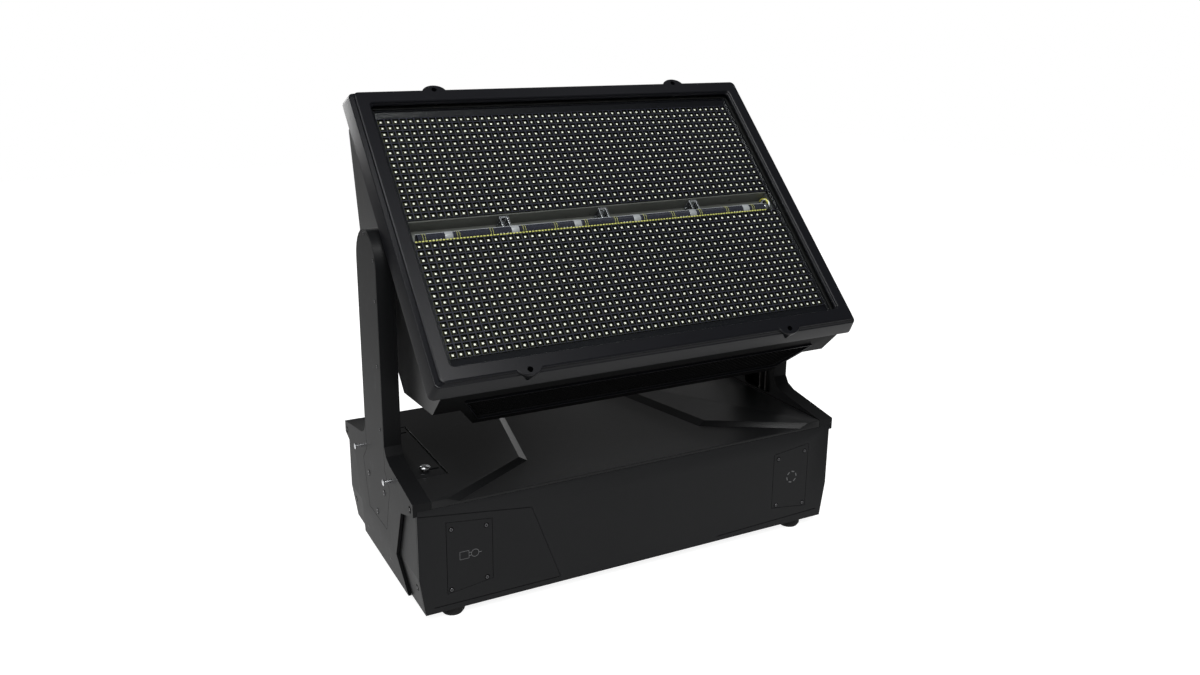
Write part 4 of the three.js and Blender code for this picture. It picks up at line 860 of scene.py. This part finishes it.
# Trough: what lies on the clear tube and beside it
TUBE_V, TUBE_W = -4.8, -5.5
SLEEVE_PLACES = [-156 + 62.4 * step for step in range(6)]
SLEEVE_RADIUS, SLEEVE_LENGTH = 5.3, 7.4
BAND_RADIUS, BAND_WIRE = 4.9, 0.16


def band_ring():
    clear()
    bpy.ops.mesh.primitive_torus_add(major_radius=BAND_RADIUS * MM, minor_radius=BAND_WIRE * MM,
                                     major_segments=28, minor_segments=5,
                                     rotation=(0, math.pi / 2, 0))
    return fix("band")


def frosted_sleeve():
    """A short sleeve round the tube, open along its axis."""
    piece = rod("sleeve", (0, 0, 0), SLEEVE_RADIUS, SLEEVE_LENGTH, 32, turn=(0, 90, 0))
    edit(piece)
    pick_faces(lambda middle, normal: abs(normal.x) > 0.9)
    draw_in(0.25)
    pull(x=0)
    pick_faces(lambda middle, normal: abs(normal.x) > 0.9 and math.hypot(middle.y, middle.z) < 1)
    bpy.ops.mesh.delete(type="FACE")
    bridge_rims()
    round_sharp(0.2, 2)
    bpy.ops.mesh.normals_make_consistent(inside=False)
    object_mode()
    return piece


def in_trough(u, v=TUBE_V, w=TUBE_W):
    return shifted(u, v, w)


bands = [in_trough(u + offset) for u in SLEEVE_PLACES for offset in (-23.4, -21.2, 7.8, 10.0)]
finish(gather(band_ring(), "tube_bands", bands), "head", LINE_LIGHT, place=HEAD_PLACE,
       slot="lamp_board")
finish(gather(frosted_sleeve(), "tube_sleeves", [in_trough(u) for u in SLEEVE_PLACES]), "head",
       SLEEVE, place=HEAD_PLACE, slot="lamp_board")

strip = block("lamp_strip", (-2.1, -9.9, -2.05), (372.2, 1.2, 2.0))
edit(strip)
round_sharp(0.15, 1)
finish(strip, "head", LAMP_BODY, place=HEAD_PLACE, stands_for=["line_lamp_strip"],
       slot="circuit_green")
LINE_LAMPS, LINE_PITCH = 118, 3.11
dash = block("line_lamps", (-186.6, -9.95, -0.75), (2.0, 1.15, 0.6))
edit(dash)
pick_faces(lambda middle, normal: normal.z > 0.9)
draw_in(0.12, 0.1)
object_mode()
repeat(dash, LINE_LAMPS, (LINE_PITCH, 0, 0))
finish(dash, "head", LINE_LIGHT, place=HEAD_PLACE, slot="lamp_board", smooth=None)

# Small parts beside the tube
bead = block("strip_parts", (0, 0, 0), (1.3, 1.0, 0.9))
edit(bead)
round_sharp(0.2, 1)
object_mode()
beads = [in_trough(u + offset, -8.3, -1.9) for u in SLEEVE_PLACES
         for offset in (-14.5, -11.5, -7.5)]
finish(gather(bead, "strip_parts", beads), "head", SLEEVE, place=HEAD_PLACE, slot="lamp_board",
       smooth=None)

# Clips: clear faces, with light grey edges as painted highlights
for number in (1, 2, 3):
    clip = dressed(f"tube_clip_{number}", stay=True)
    set_finishes(clip, CLIP_CLEAR, HIGHLIGHT_GREY)
    edit(clip)
    pick_none("EDGE")
    bpy.ops.mesh.edges_select_sharp(sharpness=math.radians(SHARP))
    # The bevelled edges take the painted highlight
    bpy.ops.mesh.bevel(offset=0.25 * MM, segments=2, affect="EDGES", clamp_overlap=True, material=1)
    finish(clip, "head", stands_for=[f"tube_clip_{number}"])


# The metal cap on the tube's right end
cap = rod("tube_cap_right", (181.6, TUBE_V, TUBE_W), 5.1, 5.0, 24, turn=(0, 90, 0))
edit(cap)
pick_faces(lambda middle, normal: abs(normal.x) > 0.9)
draw_in(1.4)
pull(x=0)
round_sharp(0.4)
finish(cap, "head", PLATED, place=HEAD_PLACE, slot="plated_steel")


def lead(name, points, radius, material, place=HERE, body="head"):
    """A short insulated lead that follows points, given in millimetres."""
    curve = bpy.data.curves.new(name, "CURVE")
    curve.dimensions = "3D"
    curve.bevel_depth = radius * MM
    curve.bevel_resolution = 2
    curve.use_fill_caps = True
    spline = curve.splines.new("BEZIER")
    spline.bezier_points.add(len(points) - 1)
    for knot, point in zip(spline.bezier_points, points):
        knot.co = mm(*point)
        knot.handle_left_type = knot.handle_right_type = "AUTO"
    piece = bpy.data.objects.new(name, curve)
    bpy.context.scene.collection.objects.link(piece)
    choose(piece)
    bpy.ops.object.convert(target="MESH")
    return finish(bpy.context.object, body, material, place=place, slot="black_plastic")


lead("tube_lead_1", [(184, -5.2, -4.6), (186.2, -3.4, -3.0), (186.9, 0.2, -2.4), (186.2, 3.4, -3.6),
                     (186.6, 5.6, -7), (186.8, 6, -13)], 0.75, LEAD_WHITE, HEAD_PLACE)
lead("tube_lead_2", [(184, -3.6, -6.2), (186.6, -1.4, -3.4), (185.4, 2.2, -2.2), (187.2, 4.6, -4.4),
                     (186.4, 8, -9), (186.4, 8.4, -13)], 0.75, WIRE_YELLOW, HEAD_PLACE)

# Thin light wire along the tube's upper side, which also stands for the highlight along the tube's
# top: a painted highlight
lead("tube_highlight_wire", [(-185, -1.3, -2.3), (-60, -1.2, -2.2), (60, -1.3, -2.3), (181, -1.3, -2.3)],
     0.14, HIGHLIGHT_GREY, HEAD_PLACE)

# Screws of both ends: x, y, z and the way each faces. Those of the right end sit in recesses,
# SEAT_DEPTH deep, so that nothing stands out past the plates.
END_X = 221.0
SEAT_DEPTH = 0.55
HEAD_X = {-1: -END_X, 1: END_X - SEAT_DEPTH}


def at_ends(*spots):
    """The screws at y and z of each spot, on the left end (-1) and the right (1)."""
    return {side: [(HEAD_X[side], y, z, (side, 0, 0)) for y, z in spots] for side in (-1, 1)}


CORNER_SCREWS = at_ends((-98.0, 98.0), (98.0, 98.0))
PLATE_SCREWS = at_ends((-24.0, 81.5), (24.0, 81.5), (0.0, 53.0))
ARM_SCREWS = at_ends((2.0, 313.5), (-23.7, 294.7), (-23.2, 259.0), (-20.8, 199.7), (-19.7, 140.8))
RIGHT_SEATS = {
    "yoke_right": [(place, 3.4) for place in CORNER_SCREWS[1]],
    "yoke_cover_right": [(place, 3.15) for place in PLATE_SCREWS[1]]
                        + [(place, 2.1) for place in ARM_SCREWS[1]],
}
for node, seats in RIGHT_SEATS.items():
    plate = dressed(node, rounding=0.3, stay=True)
    for (_, y, z, _), radius in seats:
        carve(plate, rod("screw_seat", (END_X, y, z), radius, 2 * SEAT_DEPTH, 24, turn=(0, 90, 0)))
    finish(plate, "base", ARM_COAT, stands_for=[node], slot="powder_coat", smooth=16)

# Casing parts: the CAD shapes with rounded edges
CASING = {
    "top_cover": (DECK_COAT, 0.3), "access_cover_left": (CASE_COAT, 0.2),
    "access_cover_right": (CASE_COAT, 0.2), "yoke_left": (ARM_COAT, 0.35),
    "yoke_cover_left": (ARM_COAT, 0.2), "rear_cover": (HOUSING_COAT, 0.4),
    "control_panel": (BLACK_PLASTIC, 0.6),
    "foot_front_left": (FOOT_RUBBER, 0.6), "foot_front_right": (FOOT_RUBBER, 0.6),
    "foot_rear_left": (FOOT_RUBBER, 0.6), "foot_rear_right": (FOOT_RUBBER, 0.6),
    "data_inlet": (BLACK_PLASTIC, 0.5), "data_outlet": (BLACK_PLASTIC, 0.5),
    "power_inlet": (BLACK_PLASTIC, 0.5), "power_outlet": (BLACK_PLASTIC, 0.5),
    "hatch_fastener_front": (PLATED, 0.2), "hatch_fastener_rear": (PLATED, 0.2),
}
for node, (material, rounding) in CASING.items():
    dressed(node, material, rounding=rounding, smooth=16)

# Housing of the head: the underside round the vent is painted darker, as painted shade under the
# head
housing = dressed("head_housing", rounding=0.5, stay=True)
set_finishes(housing, HOUSING_COAT, UNDERSIDE_SHADE_COAT)
head_up = HEAD_PLACE.to_3x3() @ Vector((0, 1, 0))
for face in housing.data.polygons:
    face.material_index = 1 if face.normal.dot(head_up) < -0.3 else 0
finish(housing, "head", stands_for=["head_housing"], slot="powder_coat", smooth=16)

# Front panel, with the folds' shallow lines pressed into it
FRONT_Y = -105.5
LINE_WIDTH, LINE_DEPTH = 0.8, 0.6
FRONT_LINES = [
    # x and z of both ends
    (-217.0, 93.0, -113.0, 80.0), (-113.0, 80.0, -85.0, 6.0), (-205.0, 5.5, -85.4, 5.5),
    (85.4, 5.0, 207.0, 8.4),
]


def line_cutter(x0, z0, x1, z1):
    length = math.hypot(x1 - x0, z1 - z0)
    slope = math.degrees(math.atan2(z0 - z1, x1 - x0))
    return block("line_cutter", ((x0 + x1) / 2, FRONT_Y, (z0 + z1) / 2),
                 (length, 2 * LINE_DEPTH, LINE_WIDTH), turn=(0, slope, 0))


panel = dressed("front_panel", rounding=0.25, stay=True)
for ends in FRONT_LINES:
    carve(panel, line_cutter(*ends))
finish(panel, "base", CASE_COAT, stands_for=["front_panel"], slot="powder_coat", smooth=25)

# Service hatch: its edges past HATCH_X and HATCH_Y, right and rear, stand a gap off the deck
HATCH_X, HATCH_Y, HATCH_GAP = -0.1737, 0.0613, 1.3 * MM
hatch = dressed("service_hatch", rounding=0.3, stay=True)
for vert in hatch.data.vertices:
    if vert.co.x > HATCH_X:
        vert.co.x -= HATCH_GAP
    if vert.co.y > HATCH_Y:
        vert.co.y -= HATCH_GAP
finish(hatch, "base", DECK_COAT, stands_for=["service_hatch"], slot="powder_coat", smooth=25)


# Shoulder studs: a plain shank under a rounded head
STUD_RADIUS = 1.7
STUD_STEPS = [(0.05, 2.75 / 1.7), (0.25, 2.9 / 2.75), (0.75, None), (0.35, 0.86), (0.15, 0.7)]


def shoulder_stud(node, y):
    piece = rod(node + "_turned", (-219.6, y, 101.5), STUD_RADIUS, 14.0, 20, turn=(0, 90, 0))
    edit(piece)
    pick_faces(lambda middle, normal: normal.x < -0.9)
    for reach, change in STUD_STEPS:
        pull(x=-reach)
        if change:
            widen(1, change, change)
    return finish(outwards(piece), "base", PLATED, stands_for=[node], slot="plated_steel")


shoulder_stud("stud_front", -45)
shoulder_stud("stud_rear", 45)

# Screws of the covers and panels: x, y, z and the way each one faces
COVER_SCREWS = [(side * x, FRONT_Y, z, (0, -1, 0)) for side in (-1, 1)
                for x, z in ((188.0, 75.5), (156.0, 72.5), (156.0, 23.0), (189.0, 19.0))]
TUB_SCREWS = [(side * x, y, z, (side * 0.99, 0, -0.14)) for side in (-1, 1)
              for x, y, z in ((216.0, -95.0, 23.0), (216.0, 95.0, 23.0), (218.4, -27.0, 17.0),
                              (218.4, 43.0, 17.0))]
REAR_SCREWS = [(x, 105.5, z, (0, 1, 0)) for x in (-205.0, -150.0, 188.0, 205.0)
               for z in (12.0, 88.0)]
SOCKET_SCREWS = [(x + side * 10.2, 107.8, 51.0 + side * 12.6, (0, 1, 0))
                 for x in (-122, -84, -28, 6, 40) for side in (-1, 1)]
PANEL_SCREWS = [(x, 108.8, z, (0, 1, 0)) for x in (76.5, 167.5) for z in (23.5, 78.5)]


def screw_row(name, places, radius, height, key, ring=1.3):
    """Screws with their heads' radius and height, the key hole's radius and the ring's share."""
    placed = [facing(x, y, z, way, spin=17 * number)
              for number, (x, y, z, way) in enumerate(places)]
    finish(gather(screw(name, radius, height, key, ring), name, placed), "base",
           slot="powder_coat", smooth=30)


screw_row("cover_screws", COVER_SCREWS, 1.6, 0.45, 0.7, 1.5)
screw_row("end_screws", CORNER_SCREWS[-1] + CORNER_SCREWS[1], 1.3, 0.3, 0.5, 2.5)
screw_row("plate_screws", PLATE_SCREWS[-1] + PLATE_SCREWS[1], 2.3, 0.5, 1.1)
screw_row("arm_screws", ARM_SCREWS[-1] + ARM_SCREWS[1], 1.5, 0.35, 0.75)
screw_row("tub_screws", TUB_SCREWS, 1.3, 0.3, 0.5, 2.4)
screw_row("rear_screws", REAR_SCREWS, 2.3, 0.5, 1.1)
screw_row("socket_screws", SOCKET_SCREWS, 1.8, 0.5, 0.85)
screw_row("panel_screws", PANEL_SCREWS, 1.8, 0.4, 0.85)


# Plain marks on the access covers: a plug's outline and a dashed ring
MARK_HEIGHT = 0.06


def outline(piece, width):
    """Leaves only the rim, of a width, of a flat face."""
    edit(piece)
    draw_in(width)
    bpy.ops.mesh.delete(type="FACE")
    object_mode()
    return piece


def plug_mark():
    parts = [outline(sheet_of("plug_mark", (-4.6, 0, 0), (8.6, 7.4)), 0.35),
             outline(disc("plug_body", (5.2, 0, 0), 3.6, 24), 0.4)]
    for x, z in ((0.8, 1.4), (0.8, -1.4), (10.0, 0.0)):
        parts.append(sheet_of("prong", (x, z, 0), (2.6, 0.5)))
    return join(parts, "plug_mark")


def ring_mark():
    dash_part = sheet_of("ring_mark", (5.6, 0, 0), (1.1, 3.4))
    places = [Matrix.Rotation(math.radians(60 * step + 15), 4, "Z") for step in range(6)]
    return gather(dash_part, "ring_mark", places)


def lay_mark(piece, x, z):
    edit(piece)
    pull(z=MARK_HEIGHT)
    outwards(piece)
    place = shifted(x, FRONT_Y, z) @ Matrix.Rotation(math.radians(90), 4, "X")
    return finish(piece, "base", MARK_GREY, place=place, slot="powder_coat", smooth=None)


lay_mark(plug_mark(), -172.0, 49.0)
lay_mark(ring_mark(), 173.4, 50.4)

# Wiring that comes out of the base and climbs inside the right arm
for number, y in enumerate((-3.3, -12.5), 1):
    lead(f"arm_lead_{number}", [(200, y - 2, 88), (207.5, y, 100), (209.2, y + 0.6, 122),
                                (208.8, y, 150), (210, y * 0.6, 200)], 1.3, LEAD_GREY, body="base")

# Vent in the housing's underside: drawn in u and w, and then laid there
VENT_W = -45
MESH_V, RIM_V = -148.4, -150.0
MESH_SIZE, MESH_CELLS, WIRE = (352, 36), (70, 9), 0.85
RIM_FRONT, RIM_BACK = 177.4, 156.2
RIM_FOLD, RIM_HEIGHT = 0.9, 1.8


def lay_under(piece, v):
    piece.data.transform(Matrix(((1, 0, 0, 0), (0, 0, -1, v * MM), (0, 1, 0, 0), (0, 0, 0, 1))))


def make_vent_mesh():
    piece = sheet_of("vent_mesh", (0, VENT_W, 0), MESH_SIZE, MESH_CELLS)
    edit(piece)
    bpy.ops.mesh.poke()
    pick_edges(lambda a, b: (abs(a.x - b.x) < 0.05 and abs(a.x) < 175.9)
               or (abs(a.y - b.y) < 0.05 and -62.9 < a.y < -27.1))
    bpy.ops.mesh.dissolve_edges(use_verts=False)
    for side in (-1, 1):
        bpy.ops.mesh.select_all(action="SELECT")
        bpy.ops.mesh.bisect(plane_co=mm(side * 176.2, -27, 0), plane_no=(side * 0.866, -0.5, 0),
                            clear_outer=True)
    object_mode()
    wire = piece.modifiers.new("wire", "WIREFRAME")
    wire.thickness = WIRE * MM
    wire.use_even_offset = False
    choose(piece)
    bpy.ops.object.modifier_apply(modifier=wire.name)
    lay_under(piece, MESH_V)
    return piece


# The vent mesh is painted dark, as painted shade under the head
finish(make_vent_mesh(), "head", UNDERSIDE_SHADE_COAT, place=HEAD_PLACE, stands_for=["vent_grille"],
       slot="powder_coat", smooth=None)


def vent_rim():
    """The folded edge round the vent, wider towards the front."""
    piece = sheet_of("vent_rim", (0, VENT_W, 0), (2, 37.6))
    for vert in piece.data.vertices:
        side = 1 if vert.co.x > 0 else -1
        vert.co.x = side * (RIM_FRONT if vert.co.y / MM > VENT_W else RIM_BACK) * MM
    edit(piece)
    draw_in(RIM_FOLD)
    bpy.ops.mesh.delete(type="FACE")
    bpy.ops.mesh.select_all(action="SELECT")
    pull(z=RIM_HEIGHT)
    round_sharp(0.1, 1)
    object_mode()
    lay_under(piece, RIM_V)
    return outwards(piece)


finish(vent_rim(), "head", BEZEL_COAT, place=HEAD_PLACE, slot="powder_coat", smooth=None)

# Camera, floor and lights
set_camera()


def lamp(name, middle, aim, size, power):
    clear()
    bpy.ops.object.light_add(type="AREA", location=mm(*middle))
    light = bpy.context.object
    light.name = name
    light.data.shape = "RECTANGLE"
    light.data.size, light.data.size_y = size[0] * MM, size[1] * MM
    light.data.energy = power
    way = Vector(mm(*aim)) - Vector(mm(*middle))
    light.rotation_euler = way.to_track_quat("-Z", "Y").to_euler()


FLOOR_Z, FLOOR_WIDTH = -9.25, 6000
floor = sheet_of("floor", (0, 0, FLOOR_Z), (FLOOR_WIDTH, FLOOR_WIDTH))


def seen_by_camera(tree, path):
    """1 for the camera's rays, straight or through clear parts."""
    return value_step(tree, "MAXIMUM", path.outputs["Is Camera Ray"],
                      path.outputs["Is Transmission Ray"])


# The floor's grey for the object and for the camera, its glow for the camera, and the glow that
# coats mirror: its level near the object and far out, and both distances
FLOOR_GREY, FLOOR_GREY_SEEN, FLOOR_GLOW = 0.46, 0.42, 0.88
POOL_LEVELS, POOL_REACH = (0.46, 0.07), (0.25, 0.95)


def floor_finish():
    """A pale floor that the camera sees as white, with the object's soft shadow on it.

    What the coats mirror of it is a pale pool round the object that fades further out.
    """
    material = bpy.data.materials.new("studio_floor")
    material.use_nodes = True
    tree = material.node_tree
    shader = tree.nodes["Principled BSDF"]
    path = tree.nodes.new("ShaderNodeLightPath")
    seen = seen_by_camera(tree, path)
    own = mix_colour(tree, seen, (FLOOR_GREY,) * 3, (FLOOR_GREY_SEEN,) * 3)
    join_up(tree, own, shader.inputs["Base Color"])
    shader.inputs["Roughness"].default_value = 0.8
    shader.inputs["Specular IOR Level"].default_value = 0.1
    shader.inputs["Emission Color"].default_value = (1, 1, 1, 1)
    shown = value_step(tree, "MULTIPLY", seen, FLOOR_GLOW)
    reach = tree.nodes.new("ShaderNodeVectorMath")
    reach.operation = "LENGTH"
    join_up(tree, tree.nodes.new("ShaderNodeTexCoord").outputs["Object"], reach.inputs[0])
    pool = spread(tree, reach.outputs["Value"], *POOL_LEVELS)
    pool.node.inputs["From Min"].default_value = POOL_REACH[0]
    pool.node.inputs["From Max"].default_value = POOL_REACH[1]
    mirrored = value_step(tree, "MULTIPLY", path.outputs["Is Glossy Ray"], pool)
    join_up(tree, value_step(tree, "MAXIMUM", shown, mirrored), shader.inputs["Emission Strength"])
    return material


floor.data.materials.append(floor_finish())


def set_world(plain, glossy):
    """A white world that lights at the plain level, and that coats mirror at the glossy one."""
    world = bpy.data.worlds.new("studio")
    bpy.context.scene.world = world
    world.use_nodes = True
    tree = world.node_tree
    back = tree.nodes["Background"]
    path = tree.nodes.new("ShaderNodeLightPath")
    seen = seen_by_camera(tree, path)
    level = spread(tree, seen, plain, 1.0)
    shine = tree.nodes.new("ShaderNodeMix")
    shine.data_type = "FLOAT"
    join_up(tree, path.outputs["Is Glossy Ray"], shine.inputs["Factor"])
    join_up(tree, level, shine.inputs[2])
    shine.inputs[3].default_value = glossy
    join_up(tree, shine.outputs[0], back.inputs["Strength"])
    back.inputs["Color"].default_value = (1, 1, 1, 1)


set_world(plain=0.30, glossy=0.10)
SOFTBOXES = [
    # name, middle, aim, size and power
    ("key_softbox", (-500, -1300, 1500), (0, 0, 250), (1100, 900), 20),
    ("side_softbox", (-1600, 200, 600), (0, 0, 250), (500, 900), 2.2),
    ("face_softbox", (0, -780, 1540), (-120, 0, 250), (420, 420), 11),
    ("ridge_softbox", (-800, -160, 1550), (0, 0, 320), (450, 450), 7),
    ("top_softbox", (620, 330, 1550), (0, 0, 300), (800, 380), 0.4),
    ("back_softbox", (760, 940, 1090), (100, 0, 150), (700, 500), 0.6),
    ("rear_softbox", (-620, 1500, 600), (0, 0, 200), (500, 500), 5),
    ("low_card", (900, 1200, 150), (0, 0, 120), (800, 250), 0.8),
]
for row in SOFTBOXES:
    lamp(*row)

bpy.context.scene.view_settings.view_transform = "Standard"
